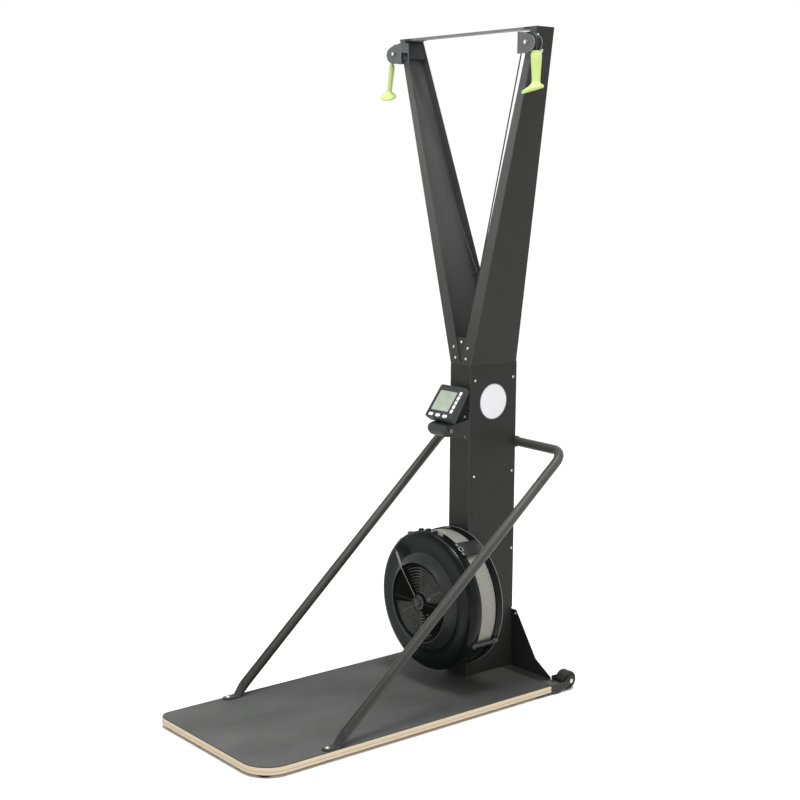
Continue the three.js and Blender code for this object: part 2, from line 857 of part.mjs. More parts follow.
function addDriveTrain() {
  const far = bearingBlockY + bearingBlockDepth;
  const near = flywheelFront;
  const shaft = discY(shaftRadius, near, far, smallSegments).translate(0, 0, fanZ);
  addPiece('drive_shaft', shaft, 'brightSteel');
  const bore = shaftRadius + seatGap;
  const flangeY = columnFront + sheet + seatGap;
  const frontBearing = turnedY([
    [bore, columnFront],
    [bearingRadius, columnFront],
    [bearingRadius, flangeY],
    [bearingFlangeRadius, flangeY],
    [bearingFlangeRadius, flangeY + bearingFlange],
    [bearingRadius, flangeY + bearingFlange],
    [bearingRadius, columnFront + bearingLength],
    [bore, columnFront + bearingLength],
  ], smallSegments).translate(0, 0, fanZ);
  addPiece('shaft_bearing_front', frontBearing, 'greySteel');
  const blockHalf = columnHalf - sheet - seatGap;
  const rearBlock = cut(
    block(
      -blockHalf, blockHalf, bearingBlockY, far,
      fanZ - bearingBlockHeight / 2, fanZ + bearingBlockHeight / 2,
    ),
    discY(bore, bearingBlockY - cutOverrun, far + cutOverrun, smallSegments).translate(0, 0, fanZ),
  );
  addPiece('shaft_bearing_rear', rearBlock, 'greySteel');
  const groove = drumCordRadius - cordRadius - seatGap;
  const returnGroove = returnCordRadius - cordRadius - seatGap;
  const wound = drumFlange + drumWinding;
  const wall = wound + drumFlange;
  const returned = wall + returnWinding;
  const drum = turnedY([
    [bore, 0],
    [drumFlangeRadius, 0],
    [drumFlangeRadius, drumFlange],
    [groove, drumFlange],
    [groove, wound],
    [drumFlangeRadius, wound],
    [drumFlangeRadius, wall],
    [returnGroove, wall],
    [returnGroove, returned],
    [returnFlangeRadius, returned],
    [returnFlangeRadius, drumDepth],
    [bore, drumDepth],
  ], smallSegments);
  for (const [side, y] of [['left', frontDrumY], ['right', rearDrumY]]) {
    addPiece(`cord_drum_${side}`, drum, 'blackPlastic').position.set(0, y, fanZ);
  }
}

// Points where a line touches two circles on the same side, the left one of the line
function tangentPoints(lowCentre, lowRadius, highCentre, highRadius) {
  const along = highCentre.clone().sub(lowCentre);
  const spread = Math.asin((highRadius - lowRadius) / along.length());
  const direction = along.normalize().rotateAround(new THREE.Vector2(), -spread);
  const left = new THREE.Vector2(-direction.y, direction.x);
  return [
    lowCentre.clone().addScaledVector(left, lowRadius),
    highCentre.clone().addScaledVector(left, highRadius),
    Math.atan2(left.y, left.x),
  ];
}

function arcStations(centre, radius, y, fromAngle, toAngle, steps) {
  return Array.from({ length: steps + 1 }, (_, i) => {
    const turn = fromAngle + ((toAngle - fromAngle) * i) / steps;
    const x = centre.x + radius * Math.cos(turn);
    return new THREE.Vector3(x, y, centre.y + radius * Math.sin(turn));
  });
}

// The route of one drive cord, for the right side: over the pulley, past the roller, to its drum
function driveCordStations(sign, drumY) {
  const pulley = new THREE.Vector2(pulleyReach, pulleyZ);
  const roller = new THREE.Vector2(guideX, guideZ);
  const [, , wrap] = tangentPoints(roller, guideCordRadius, pulley, pulleyCordRadius);
  const over = arcStations(pulley, pulleyCordRadius, pulleyY, 0, wrap, 10);
  const past = arcStations(roller, guideCordRadius, guideY, wrap, Math.PI, 3);
  const stations = [...over, ...past];
  stations.push(new THREE.Vector3(sign * drumCordRadius, drumY, fanZ));
  return stations;
}

function addCords() {
  const cordSides = 8;
  for (const [side, sign, drumY] of [['left', -1, frontDrumY], ['right', 1, rearDrumY]]) {
    const stations = driveCordStations(sign, drumY + windingCentre);
    const drive = mirrored(welded(swept(stations, cordRadius, cordSides)), sign);
    addPiece(`drive_cord_${side}`, drive, 'cordBlack');
    const tailBottom = handleTopZ + seatGap * 2 + stopHeight;
    const tail = discZ(cordRadius, tailBottom, pulleyZ - seatGap, cordSides);
    const tailMesh = addPiece(`cord_tail_${side}`, tail, 'cordBlack');
    tailMesh.position.set(sign * handleX, pulleyY, 0);
    const elastic = swept([
      new THREE.Vector3(-returnCordRadius, drumY + returnCentre, fanZ),
      new THREE.Vector3(-returnCordRadius * -sign, mastY + sheet / 2, mastWingLow - seatGap),
    ], cordRadius, cordSides);
    addPiece(`return_cord_${side}`, welded(elastic), 'elastic');
  }
}

function handleRing(level) {
  const tilt = handleFootTiltShares[level];
  return Array.from({ length: handleSides }, (_, i) => {
    const turn = (2 * Math.PI * i) / handleSides;
    const across = handleHalfWidths[level] * Math.cos(turn);
    const out = handleHalfDepths[level] * Math.sin(turn) - handleBows[level];
    const x = across + handleFootShifts[level];
    return new THREE.Vector3(x, out, across * tilt - handleLevels[level]);
  });
}

function addHandles() {
  const rings = handleLevels.map((_, level) => handleRing(level)).reverse();
  const boreDepth = handleLevels[3];
  const bore = discZ(cordBoreRadius, -boreDepth, cutOverrun, smallSegments);
  const grip = cut(lofted(rings), bore).rotateZ(handleTurn * degree);
  const stop = turnedY([
    [0, 0],
    [stopRadius * 0.8, 0],
    [stopRadius, stopHeight * 0.3],
    [stopRadius, stopHeight * 0.6],
    [stopRadius * 0.6, stopHeight],
    [0, stopHeight],
  ], smallSegments).rotateX(Math.PI / 2);
  for (const [side, sign] of sides) {
    const handle = addPiece(`handle_${side}`, mirrored(grip, sign), 'lime');
    handle.position.set(sign * handleX, pulleyY, handleTopZ);
    const knot = addPiece(`cord_stop_${side}`, stop, 'lime');
    knot.position.set(sign * handleX, pulleyY, handleTopZ + seatGap);
  }
}

function frontCoverProfile() {
  const arcCentreY = faceY + shoulderRadius;
  const arcCentreR = fanRadius - shoulderRadius;
  const shoulder = (radius, steps) => Array.from({ length: steps + 1 }, (_, i) => {
    const turn = (i / steps) * 0.5 * Math.PI;
    return [arcCentreR + radius * Math.cos(turn), arcCentreY - radius * Math.sin(turn)];
  });
  const floorY = inletFront + grilleDepth;
  const slope = (faceY - inletFront) / (inletFootRadius - inletRadius);
  const wallInner = inletRadius - shell;
  return [
    [fanRadius, bandFront],
    ...shoulder(shoulderRadius, arcSteps + 1),
    [inletFootRadius, faceY],
    [inletRadius, inletFront],
    [wallInner, inletFront],
    [wallInner, floorY],
    [wallInner + grilleDepth / slope, floorY],
    [inletFootRadius, faceY + shell],
    ...shoulder(shoulderRadius - shell, keySteps).reverse(),
    [fanRadius - shell, bandFront],
  ];
}

function addFanFront() {
  const floorY = inletFront + grilleDepth;
  const top = floorY - grilleBar;
  const wallInner = inletRadius - shell;
  const pieces = [turnedY(frontCoverProfile(), fineSegments)];
  for (let r = grilleInner; r + grilleBar < wallInner - grilleBar; r += grillePitch) {
    pieces.push(ringY(r, r + grilleBar, top, floorY, coarseSegments));
  }
  pieces.push(discY(hubRadius, top, floorY, coarseSegments));
  pieces.push(discY(bossRadius, bossFront, floorY, smallSegments));
  for (let i = 0; i < grilleSpokes; i += 1) {
    const spoke = block(
      hubRadius / 2, wallInner + shell / 2, top, floorY, -grilleBar / 2, grilleBar / 2,
    );
    pieces.push(spoke.rotateY(((i + 0.5) / grilleSpokes) * 2 * Math.PI));
  }
  const outer = fanRadius + seatGap;
  tieAngles.forEach((angle, i) => {
    const half = (tieWidth * tieWidthShares[i]) / 2;
    const foot = block(
      fanRadius - shell, outer + tieHeight, bandFront - tieOverlap, bandFront, -half, half,
    );
    const bar = block(
      outer - rearDrop * 2, outer + tieHeight, bandFront, bandRear + tieOverlap, -half, half,
    );
    const clearOfDrum = discY(outer - rearDrop + seatGap, bandFront, rearRim, fineSegments);
    pieces.push(cut(join(foot, bar), clearOfDrum).rotateY(-angle * degree));
  });
  addPiece('fan_front_cover', join(...pieces).translate(0, 0, fanZ), 'blackPlastic');
}

function addFanBand() {
  const outer = fanRadius - bandInset;
  const band = ringY(
    outer - bandThickness, outer, bandFront + seatGap, bandRear - seatGap, fineSegments,
  );
  addPiece('fan_mesh_band', band.translate(0, 0, fanZ), 'greyMesh');
}

function addFanRear() {
  const wallRear = columnFront - seatGap;
  const rearRadius = fanRadius - rearDrop;
  const lipInner = fanRadius - bandInset - bandThickness - shell;
  const profile = [
    [bearingRadius, wallRear - shell],
    [rearWallRadius, wallRear - shell],
    [rearRadius - shell, rearRim - shell],
    [rearRadius - shell, bandRear + shell],
    [lipInner, bandRear + shell],
    [lipInner, bandRear],
    [rearRadius, bandRear],
    [rearRadius, rearRim],
    [rearWallRadius, wallRear],
    [bearingRadius, wallRear],
  ];
  addPiece('fan_rear_cover', turnedY(profile, fineSegments).translate(0, 0, fanZ), 'blackPlastic');
}

function addDamper() {
  const back = damperFront + damperThickness;
  const damperRadius = inletRadius - shell - damperGap;
  let disc = discY(damperRadius, damperFront, back, fineSegments);
  for (const [from, to] of damperOpenAngles) {
    const sector = new THREE.Shape();
    sector.absarc(0, 0, damperRadius - grilleBar, from * degree, to * degree);
    sector.absarc(0, 0, damperHubRadius, to * degree, from * degree, true);
    disc = cut(disc, acrossY(sector, damperFront - cutOverrun, back + cutOverrun));
  }
  const rib = new THREE.Shape();
  const ribFoot = damperFront + damperThickness / 2;
  const passY = leverFront + leverThickness;
  [
    [leverRibFoot, ribFoot],
    [damperRadius - grilleBar, ribFoot],
    [damperRadius - grilleBar, passY],
    [inletRadius + damperGap, passY],
    [leverLength, passY + leverDrop],
    [leverLength, leverFront + leverDrop],
    [inletRadius + damperGap, leverFront],
    [leverRibFoot, passY],
  ].forEach(([r, y], i) => (i === 0 ? rib.moveTo(r, y) : rib.lineTo(r, y)));
  const lever = extruded(rib, leverWidth).translate(0, 0, -leverWidth / 2).rotateY(-leverAngle * degree);
  const turningRadius = (bossRadius + seatGap) / Math.cos(Math.PI / smallSegments);
  const hole = discY(turningRadius, leverFront - cutOverrun, back + cutOverrun, smallSegments);
  const damper = cut(join(disc, lever), hole).translate(0, 0, fanZ);
  addPiece('damper_disc', damper, 'blackPlastic');
}

function addFlywheel() {
  const bore = shaftRadius + seatGap;
  const discRear = flywheelFront + flywheelHubDepth;
  const discFront = discRear - flywheelDisc;
  const rimInner = flywheelRadius - flywheelRim;
  const body = turnedY([
    [bore, flywheelFront],
    [flywheelHubRadius, flywheelFront],
    [flywheelHubRadius, discFront],
    [rimInner, discFront],
    [rimInner, discRear - flywheelRimDepth],
    [flywheelRadius, discRear - flywheelRimDepth],
    [flywheelRadius, discRear],
    [bore, discRear],
  ], fineSegments);
  const blades = Array.from({ length: bladeCount }, (_, i) => {
    const blade = block(
      bladeInner, flywheelRadius - bladeTipGap,
      discRear - flywheelDisc / 2, discRear + bladeDepth,
      -bladeThickness / 2, bladeThickness / 2,
    );
    return blade.rotateY((i / bladeCount) * 2 * Math.PI);
  });
  addPiece('flywheel', join(body, ...blades).translate(0, 0, fanZ), 'greySteel');
}

// Points of a bend of the given radius at a corner between two straight runs
function bendStations(before, corner, after) {
  const back = before.clone().sub(corner).normalize();
  const on = after.clone().sub(corner).normalize();
  const half = back.angleTo(on) / 2;
  const reach = bendRadius / Math.tan(half);
  const bisector = back.clone().add(on).normalize();
  const centre = corner.clone().addScaledVector(bisector, bendRadius / Math.sin(half));
  const first = corner.clone().addScaledVector(back, reach).sub(centre);
  const last = corner.clone().addScaledVector(on, reach).sub(centre);
  const turn = Math.PI - half * 2;
  return Array.from({ length: bendSteps + 1 }, (_, i) => centre.clone()
    .addScaledVector(first, Math.sin(turn * (1 - i / bendSteps)) / Math.sin(turn))
    .addScaledVector(last, Math.sin(turn * (i / bendSteps)) / Math.sin(turn)));
}

function addBraces() {
  const foot = new THREE.Vector3(braceFootReach, braceFootY, deckTop + tubeRadius / 2);
  const corner = new THREE.Vector3(cornerReach, cornerY, braceTopZ + cornerRise);
  const flat = new THREE.Vector3(crossbarFlatHalf, tubeY, braceTopZ);
  const slope = corner.clone().sub(foot).normalize();
  const joint = foot.clone().lerp(corner, braceJointShare);
  const bore = tubeRadius - tubeWall;
  const start = foot.clone().addScaledVector(slope, flattenLength);
  const gap = seatGap / 2;
  const spigotRadius = bore * Math.cos(Math.PI / tubeSides) - seatGap;
  const inner = spigotRadius - tubeWall;
  const length = joint.distanceTo(start) - gap;
  const tube = turnedY([
    [bore, -tubeWall],
    [tubeRadius, -tubeWall],
    [tubeRadius, length],
    [spigotRadius, length],
    [spigotRadius, length + spigotLength],
    [inner, length + spigotLength],
    [inner, length - spigotLength],
    [bore, length - spigotLength],
  ], tubeSides);
  const lay = new THREE.Quaternion().setFromUnitVectors(new THREE.Vector3(0, 1, 0), slope);
  const body = tube.applyQuaternion(lay).translate(start.x, start.y, start.z);
  const normal = new THREE.Vector3(0, 0, 1).addScaledVector(slope, -slope.z).normalize();
  const across = slope.clone().cross(normal);
  const round = Array.from({ length: tubeSides }, (_, i) => (2 * Math.PI * (i + 0.5)) / tubeSides);
  const ringAt = (centre, half, lift) => round.map((turn) => centre.clone()
    .addScaledVector(across, half * Math.cos(turn))
    .addScaledVector(normal, lift * Math.sin(turn)));
  const tabBottom = deckTop + seatGap;
  const flatRing = round.map((turn) => new THREE.Vector3(
    foot.x + footTabHalf * Math.cos(turn),
    foot.y,
    tabBottom + footTab / 2 + (footTab / 2) * Math.sin(turn),
  ));
  const flare = lofted([flatRing, ringAt(start, tubeRadius, tubeRadius)]);
  const tabShape = new THREE.Shape();
  tabShape.moveTo(foot.x - footTabHalf, foot.y);
  tabShape.lineTo(foot.x - footTabHalf, foot.y - footTabLength / 2);
  tabShape.absarc(foot.x, foot.y - footTabLength / 2, footTabHalf, Math.PI, 2 * Math.PI);
  tabShape.lineTo(foot.x + footTabHalf, foot.y);
  const hole = new THREE.Path();
  hole.absarc(foot.x, foot.y - footTabLength / 2, footBoltRadius, 0, 2 * Math.PI);
  tabShape.holes.push(hole);
  const tab = extruded(tabShape, footTab, smallSegments / 2).translate(0, 0, tabBottom);
  const brace = join(body, flare, tab);
  for (const [side, sign] of sides) {
    addPiece(`side_brace_${side}`, mirrored(brace, sign), 'blackSteel');
  }
  const crossStart = joint.clone().addScaledVector(slope, gap);
  const rightHalf = [crossStart, ...bendStations(foot, corner, flat), flat];
  const leftHalf = rightHalf.map((point) => new THREE.Vector3(-point.x, point.y, point.z));
  const crossbar = swept([...rightHalf, ...leftHalf.reverse()], tubeRadius, tubeSides, bore);
  addPiece('brace_crossbar', welded(crossbar), 'blackSteel');
}

// Pocketed face and its keys: [name, x, rise, outline of the key for a given margin]
function consoleKeys() {
  const keys = [];
  for (let i = 0; i < ovalCount; i += 1) {
    const x = ovalShift + (i - (ovalCount - 1) / 2) * ovalPitch;
    const shape = (fit) => roundedPlate(ovalWidth / 2 + fit, ovalHeight / 2 + fit, ovalHeight / 2);
    keys.push([`console_button_${i + 1}`, x, faceRise + ovalRise, shape]);
  }
  for (let i = 0; i < keyCount; i += 1) {
    const shape = (fit) => roundedPlate(keyWidth / 2 + fit, keyHeight / 2 + fit, keyCorner);
    keys.push([`console_key_${i + 1}`, keyShift, faceRise + keyRise + i * keyPitch, shape]);
  }
  return keys;
}

// The console is drawn with its face upright in x and y and its depth along z, hinge at zero
function addConsole() {
  const head = new THREE.Group();
  head.position.set(0, pivotY, pivotZ);
  head.rotation.x = (90 - consoleTilt) * degree;
  machine.add(head);
  const halfWidth = consoleWidth / 2;
  const middle = faceRise + consoleHeight / 2;
  const front = roundedPlate(halfWidth, consoleHeight / 2, consoleCorner);
  const slab = extruded(front, consoleFootThickness).translate(0, middle, faceProud - consoleFootThickness);
  const sideView = outline([
    [faceRise, faceProud], [faceRise, faceProud - consoleFootThickness],
    [faceRise + consoleHeight, faceProud - consoleTopThickness],
    [faceRise + consoleHeight, faceProud],
  ]);
  const wedge = acrossX(sideView, -halfWidth, halfWidth);
  const neck = block(
    -neckHalf, neckHalf, 0, faceRise + neckOverlap, -neckBack, barrelRadius / 2,
  );
  const barrel = discX(barrelRadius, -barrelHalf, barrelHalf, coarseSegments);
  const pivotBore = discX(
    pivotRadius + seatGap, -barrelHalf - cutOverrun, barrelHalf + cutOverrun, smallSegments,
  );
  const screenShape = (fit) => roundedPlate(screenWidth / 2 + fit, screenHeight / 2 + fit, pivotRadius);
  const pocketFloor = faceProud - screenThickness + screenProud - seatGap;
  const pockets = [
    extruded(screenShape(seatGap), cutOverrun + screenThickness, keySteps)
      .translate(screenShift, faceRise + screenRise, pocketFloor),
  ];
  const keyBack = faceProud + buttonProud - buttonDepth;
  const keyFloor = keyBack - buttonTravel - seatGap;
  for (const [, x, rise, shape] of consoleKeys()) {
    pockets.push(extruded(shape(buttonFit), cutOverrun + buttonDepth * 2, keySteps).translate(x, rise, keyFloor));
  }
  const body = cut(join(common(slab, wedge), neck, barrel), pivotBore, ...pockets);
  addPiece('console_body', body, 'consoleGrey', head);
  const screen = extruded(screenShape(0), screenThickness, keySteps)
    .translate(screenShift, faceRise + screenRise, pocketFloor + seatGap);
  addPiece('console_screen', screen, 'screenGlass', head);
  for (const [name, x, rise, shape] of consoleKeys()) {
    const key = extruded(shape(0), buttonDepth, keySteps).translate(x, rise, keyBack);
    addPiece(name, key, 'whiteRubber', head);
  }
}

function addConsoleMount() {
  const plateFront = columnFront - seatGap - sheet;
  const earInner = barrelHalf + seatGap;
  const low = pivotZ - bracketDrop;
  const high = pivotZ + bracketRise;
  const plate = block(-bracketHalf, bracketHalf, plateFront, plateFront + sheet, low, high);
  const ear = new THREE.Shape();
  ear.moveTo(plateFront + sheet, pivotZ + earRoot / 2);
  ear.lineTo(plateFront, pivotZ + earRoot / 2);
  ear.absarc(pivotY, pivotZ, earRadius, 0.5 * Math.PI, 1.5 * Math.PI);
  ear.lineTo(plateFront + sheet, pivotZ - earRoot / 2);
  const hole = new THREE.Path();
  hole.absarc(pivotY, pivotZ, pivotRadius + seatGap, 0, 2 * Math.PI);
  ear.holes.push(hole);
  const rightEar = acrossX(ear, earInner, earInner + earThickness, smallSegments);
  addPiece('console_bracket', join(plate, rightEar, mirrored(rightEar, -1)), 'darkSteel');
  const outerFace = earInner + earThickness + seatGap;
  const pin = discX(pivotRadius, -outerFace - pivotHead, outerFace + pivotHead, smallSegments);
  const head = discX(pivotHeadRadius, outerFace, outerFace + pivotHead, smallSegments);
  const pivot = join(pin, head, mirrored(head, -1)).translate(0, pivotY, pivotZ);
  addPiece('console_pivot_pin', pivot, 'brightSteel');
}

addDeck();
addRearBeam();
addWheels();
addGusset();
addColumn();
addArms();
addJunctionPlate();
addTopCrossbar();
addTopPulleys();
addCordGuide();
addDriveTrain();
addCords();
addHandles();
addFanFront();
addFanBand();
addFanRear();
addDamper();
addFlywheel();
addBraces();
addConsole();
addConsoleMount();

export default machine;
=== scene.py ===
"""Looks of the ski trainer: its camera, finishes, smooth pieces and small fasteners."""

import json
from math import asin, atan2, copysign, cos, degrees, pi, radians, sin, tan

import bmesh
import bpy
from mathutils import Matrix, Vector


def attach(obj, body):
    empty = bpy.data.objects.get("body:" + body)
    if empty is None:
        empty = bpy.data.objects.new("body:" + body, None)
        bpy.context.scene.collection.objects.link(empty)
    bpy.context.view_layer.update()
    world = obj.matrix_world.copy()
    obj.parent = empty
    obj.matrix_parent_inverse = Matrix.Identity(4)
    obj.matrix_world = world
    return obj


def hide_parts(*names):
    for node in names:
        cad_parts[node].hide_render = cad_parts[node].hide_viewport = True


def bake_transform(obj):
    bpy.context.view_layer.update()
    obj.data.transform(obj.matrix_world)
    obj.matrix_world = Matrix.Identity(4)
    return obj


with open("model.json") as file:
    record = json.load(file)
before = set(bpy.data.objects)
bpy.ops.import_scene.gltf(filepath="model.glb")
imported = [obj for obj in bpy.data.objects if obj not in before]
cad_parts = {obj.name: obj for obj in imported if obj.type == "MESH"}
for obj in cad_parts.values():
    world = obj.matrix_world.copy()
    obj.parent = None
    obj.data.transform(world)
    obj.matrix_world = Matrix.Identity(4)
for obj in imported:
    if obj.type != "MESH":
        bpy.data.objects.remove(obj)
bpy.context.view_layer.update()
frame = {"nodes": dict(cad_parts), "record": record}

# In millimetres: places along the machine from the deck's free end, heights from the floor
MIDDLE = 649.3
DECK = 35.6
FAN_Z = 319.6
COLUMN_FRONT = 1010
COLUMN_REAR = 1222.3
COLUMN_HALF = 50

SIDES = (("left", -1), ("right", 1))
FRONT, REAR, UPWARD = (0, -1, 0), (0, 1, 0), (0, 0, 1)
MM = Matrix.Scale(0.001, 4)


def at(x, y, z):
    """A point given in millimetres: x across, y from the deck's free end, z from the floor."""
    return Vector((x, y - MIDDLE, z)) / 1000


def up(x, y, z):
    """The same, with z from the top of the deck."""
    return at(x, y, z + DECK)


def linked(name, data):
    made = bpy.data.objects.new(name, data)
    bpy.context.scene.collection.objects.link(made)
    return made


# Camera


def make_camera():
    data = bpy.data.cameras.new("camera")
    data.sensor_width = 36
    data.lens = 66.25
    camera = linked("camera", data)
    yaw, pitch, roll = (radians(a) for a in (50.797, 8.818, -0.370))
    level = cos(pitch)
    ahead = Vector((-sin(yaw) * level, cos(yaw) * level, -sin(pitch)))
    right = Vector((cos(yaw), sin(yaw), 0))
    down = ahead.cross(right)
    across = cos(roll) * right + sin(roll) * down
    below = cos(roll) * down - sin(roll) * right
    turned = Matrix((across, -below, -ahead)).transposed().to_4x4()
    camera.matrix_world = Matrix.Translation((3.6607, -2.8853, 1.7478)) @ turned
    bpy.context.scene.camera = camera


make_camera()


# Finishes


class Finish:
    """One material and the nodes that shape its colour, gloss and relief."""

    def __init__(self, name, **sockets):
        self.material = bpy.data.materials.new(name)
        self.material.use_nodes = True
        self.tree = self.material.node_tree
        self.shader = self.tree.nodes["Principled BSDF"]
        for socket, value in sockets.items():
            self.shader.inputs[socket.replace("_", " ")].default_value = value
        self.place = self.node("TexCoord").outputs["Object"]

    def node(self, kind, inputs=(), **settings):
        made = self.tree.nodes.new("ShaderNode" + kind)
        for key, value in settings.items():
            setattr(made, key, value)
        for key, value in dict(inputs).items():
            if isinstance(value, bpy.types.NodeSocket):
                self.tree.links.new(value, made.inputs[key])
            else:
                made.inputs[key].default_value = value
        return made

    def axes(self, vector=None):
        return self.node("SeparateXYZ", {0: vector or self.place}).outputs

    def normals(self):
        return self.axes(self.node("NewGeometry").outputs["Normal"])

    def stretched(self, x, y, z):
        inputs = {"Vector": self.place, "Scale": (x, y, z)}
        return self.node("Mapping", inputs).outputs["Vector"]

    def noise(self, scale, detail, vector=None):
        inputs = {"Vector": vector or self.place, "Scale": scale, "Detail": detail}
        return self.node("TexNoise", inputs).outputs["Fac"]

    def maths(self, operation, first, second=0.5):
        inputs = {0: first, 1: second}
        return self.node("Math", inputs, operation=operation).outputs[0]

    def blend(self, first, second, share):
        """share of the second amount, the rest of the first."""
        kept = self.maths("MULTIPLY", first, 1 - share)
        return self.maths("ADD", kept, self.maths("MULTIPLY", second, share))

    def span(self, amount, low, high, start=0.3, end=0.7):
        inputs = {0: amount, 1: start, 2: end, 3: low, 4: high}
        return self.node("MapRange", inputs).outputs[0]

    def ramp(self, amount, *stops):
        made = self.node("ValToRGB", {"Fac": amount})
        steps = made.color_ramp.elements
        while len(steps) < len(stops):
            steps.new(0.5)
        for step, (position, colour) in zip(steps, stops):
            step.position = position
            step.color = (*colour, 1)
        return made.outputs["Color"]

    def mix(self, share, first, second):
        made = self.node("Mix", data_type="RGBA")
        for socket, value in zip((0, 6, 7), (share, first, second)):
            self.tree.links.new(value, made.inputs[socket])
        return made.outputs[2]

    def tones(self, amount, low, high):
        return self.ramp(amount, (0.3, low), (0.72, high))

    def feed(self, socket, value):
        self.tree.links.new(value, self.shader.inputs[socket])

    def colour(self, amount, *stops):
        self.feed("Base Color", self.ramp(amount, *stops))

    def relief(self, height, distance, strength=1.0):
        inputs = {"Height": height, "Distance": distance, "Strength": strength}
        self.feed("Normal", self.node("Bump", inputs).outputs["Normal"])

    def grained(self, patch, grain, rough, wear, depth):
        """Uneven gloss and fine relief of a coat; returns its cloudy amount."""
        cloud = self.noise(patch, 5)
        fine = self.noise(grain, 2)
        smear = self.noise(38, 4, self.stretched(1, 1, 0.35))
        self.feed("Roughness", self.span(smear, rough - wear, rough + wear))
        self.relief(self.blend(fine, smear, 0.15), depth)
        return self.blend(self.blend(cloud, smear, 0.35), fine, 0.3)


def tone(colour, factor):
    return tuple(min(1, c * factor) for c in colour)


def coated(
    name, colour, rough, gloss, grain, depth=0.0002, spread=0.18, patch=7.0, wear=0.075, metal=0
):
    """Paint, moulded plastic or rubber: cloudy tone, fine grain, uneven gloss."""
    made = Finish(name, Metallic=metal, Specular_IOR_Level=gloss)
    amount = made.grained(patch, grain, rough, wear, depth)
    low, high = tone(colour, 1 - spread), tone(colour, 1 + spread)
    made.colour(amount, (0.3, low), (0.52, colour), (0.72, high))
    return made.material


def brushed(name, colour, rough):
    """Bare metal with fine lines along one way."""
    made = Finish(name, Metallic=0.9)
    lines = made.noise(60, 4, made.stretched(1, 30, 30))
    cloud = made.noise(25, 3)
    made.colour(made.blend(cloud, lines, 0.5), (0.3, tone(colour, 0.8)), (0.7, colour))
    made.feed("Roughness", made.span(lines, rough - 0.08, rough + 0.1))
    made.relief(lines, 0.00008)
    return made.material


def plywood():
    """Fine plies with one darker glue line seen at the edge, long grain on the faces."""
    board_bottom, board_thickness, plies, glue_share = 0.0103, 0.022, 13.0, 0.46
    made = Finish("plywood")
    height = made.maths("SUBTRACT", made.axes()["Z"], board_bottom)
    share = made.maths("DIVIDE", height, board_thickness)
    bands = made.maths("PINGPONG", made.maths("MULTIPLY", share, plies), 1.0)
    off = made.maths("ABSOLUTE", made.maths("SUBTRACT", share, glue_share))
    glue = made.span(off, 0.0, 1.0, 0.02, 0.1)
    fibre = made.noise(26, 6, made.stretched(1.2, 1.2, 40))
    layered = made.blend(made.blend(bands, fibre, 0.7), glue, 0.5)
    edge = made.ramp(
        layered,
        (0.18, (0.33, 0.25, 0.16)),
        (0.42, (0.42, 0.345, 0.225)),
        (0.8, (0.57, 0.485, 0.35)),
    )
    grain = made.noise(12, 6, made.stretched(14, 0.7, 1))
    face = made.ramp(grain, (0.3, (0.42, 0.29, 0.16)), (0.68, (0.66, 0.5, 0.31)))
    flat = made.maths("GREATER_THAN", made.maths("ABSOLUTE", made.normals()["Z"]), 0.8)
    made.feed("Base Color", made.mix(flat, edge, face))
    made.feed("Roughness", made.span(fibre, 0.5, 0.68))
    made.relief(layered, 0.0003)
    return made.material


def crossbar_painted_highlight():
    """Dark paint on the box heads; the bar between them is painted pale grey, a painted highlight.
    """
    made = Finish("crossbar_painted_highlight", Specular_IOR_Level=0.3)
    off = made.maths("ABSOLUTE", made.axes()["X"])
    painted_light_amount = made.noise(60, 4, made.stretched(0.2, 1, 1))
    share = made.maths("ADD", off, made.span(painted_light_amount, -0.008, 0.008))
    grain = made.noise(900, 2)
    # Painted highlight: pale grey along the bar, dark paint on the heads; the noise amount wobbles
    # its edge and sets the gloss.
    amount = made.blend(made.span(share, 1.0, 0.0, 0.262, 0.285), grain, 0.15)
    made.colour(amount, (0.2, (0.022, 0.025, 0.029)), (0.85, (0.16, 0.16, 0.158)))
    made.feed("Roughness", made.span(painted_light_amount, 0.36, 0.5))
    made.relief(grain, 0.0001)
    return made.material


def arm_paint_with_painted_light():
    """Satin black outside; greyer inside the channel and up the front flanges, paler the higher
    they are: painted light.
    """
    made = Finish("powder_arm_painted_light", Specular_IOR_Level=0.2)
    amount = made.grained(7, 1100, 0.46, 0.075, 0.0002)
    place, way = made.axes(), made.normals()
    inside = made.maths(
        "MAXIMUM",
        made.maths("LESS_THAN", made.maths("MULTIPLY", way["X"], place["X"]), -0.04),
        made.maths("LESS_THAN", way["Y"], -0.5),
    )
    front = made.span(place["Y"], 1.0, 0.0, 0.363, 0.3642)
    web = made.tones(amount, (0.0165, 0.0163, 0.0157), (0.0235, 0.0233, 0.0225))
    # Painted light: the inner and front-facing faces of the channel turn paler higher up.
    painted_lit_hollow = made.mix(
        made.span(place["Z"], 0.0, 1.0, 1.1, 1.6),
        made.tones(amount, (0.024, 0.024, 0.024), (0.034, 0.034, 0.034)),
        made.tones(amount, (0.064, 0.064, 0.065), (0.09, 0.09, 0.091)),
    )
    # Painted light: the front flanges turn paler higher up.
    painted_lit_flange = made.mix(
        made.span(place["Z"], 0.0, 1.0, 1.1, 2.0),
        made.tones(amount, (0.026, 0.026, 0.0255), (0.036, 0.036, 0.035)),
        made.tones(amount, (0.082, 0.082, 0.08), (0.115, 0.115, 0.112)),
    )
    made.feed("Base Color", made.mix(front, made.mix(inside, web, painted_lit_hollow), painted_lit_flange))
    return made.material


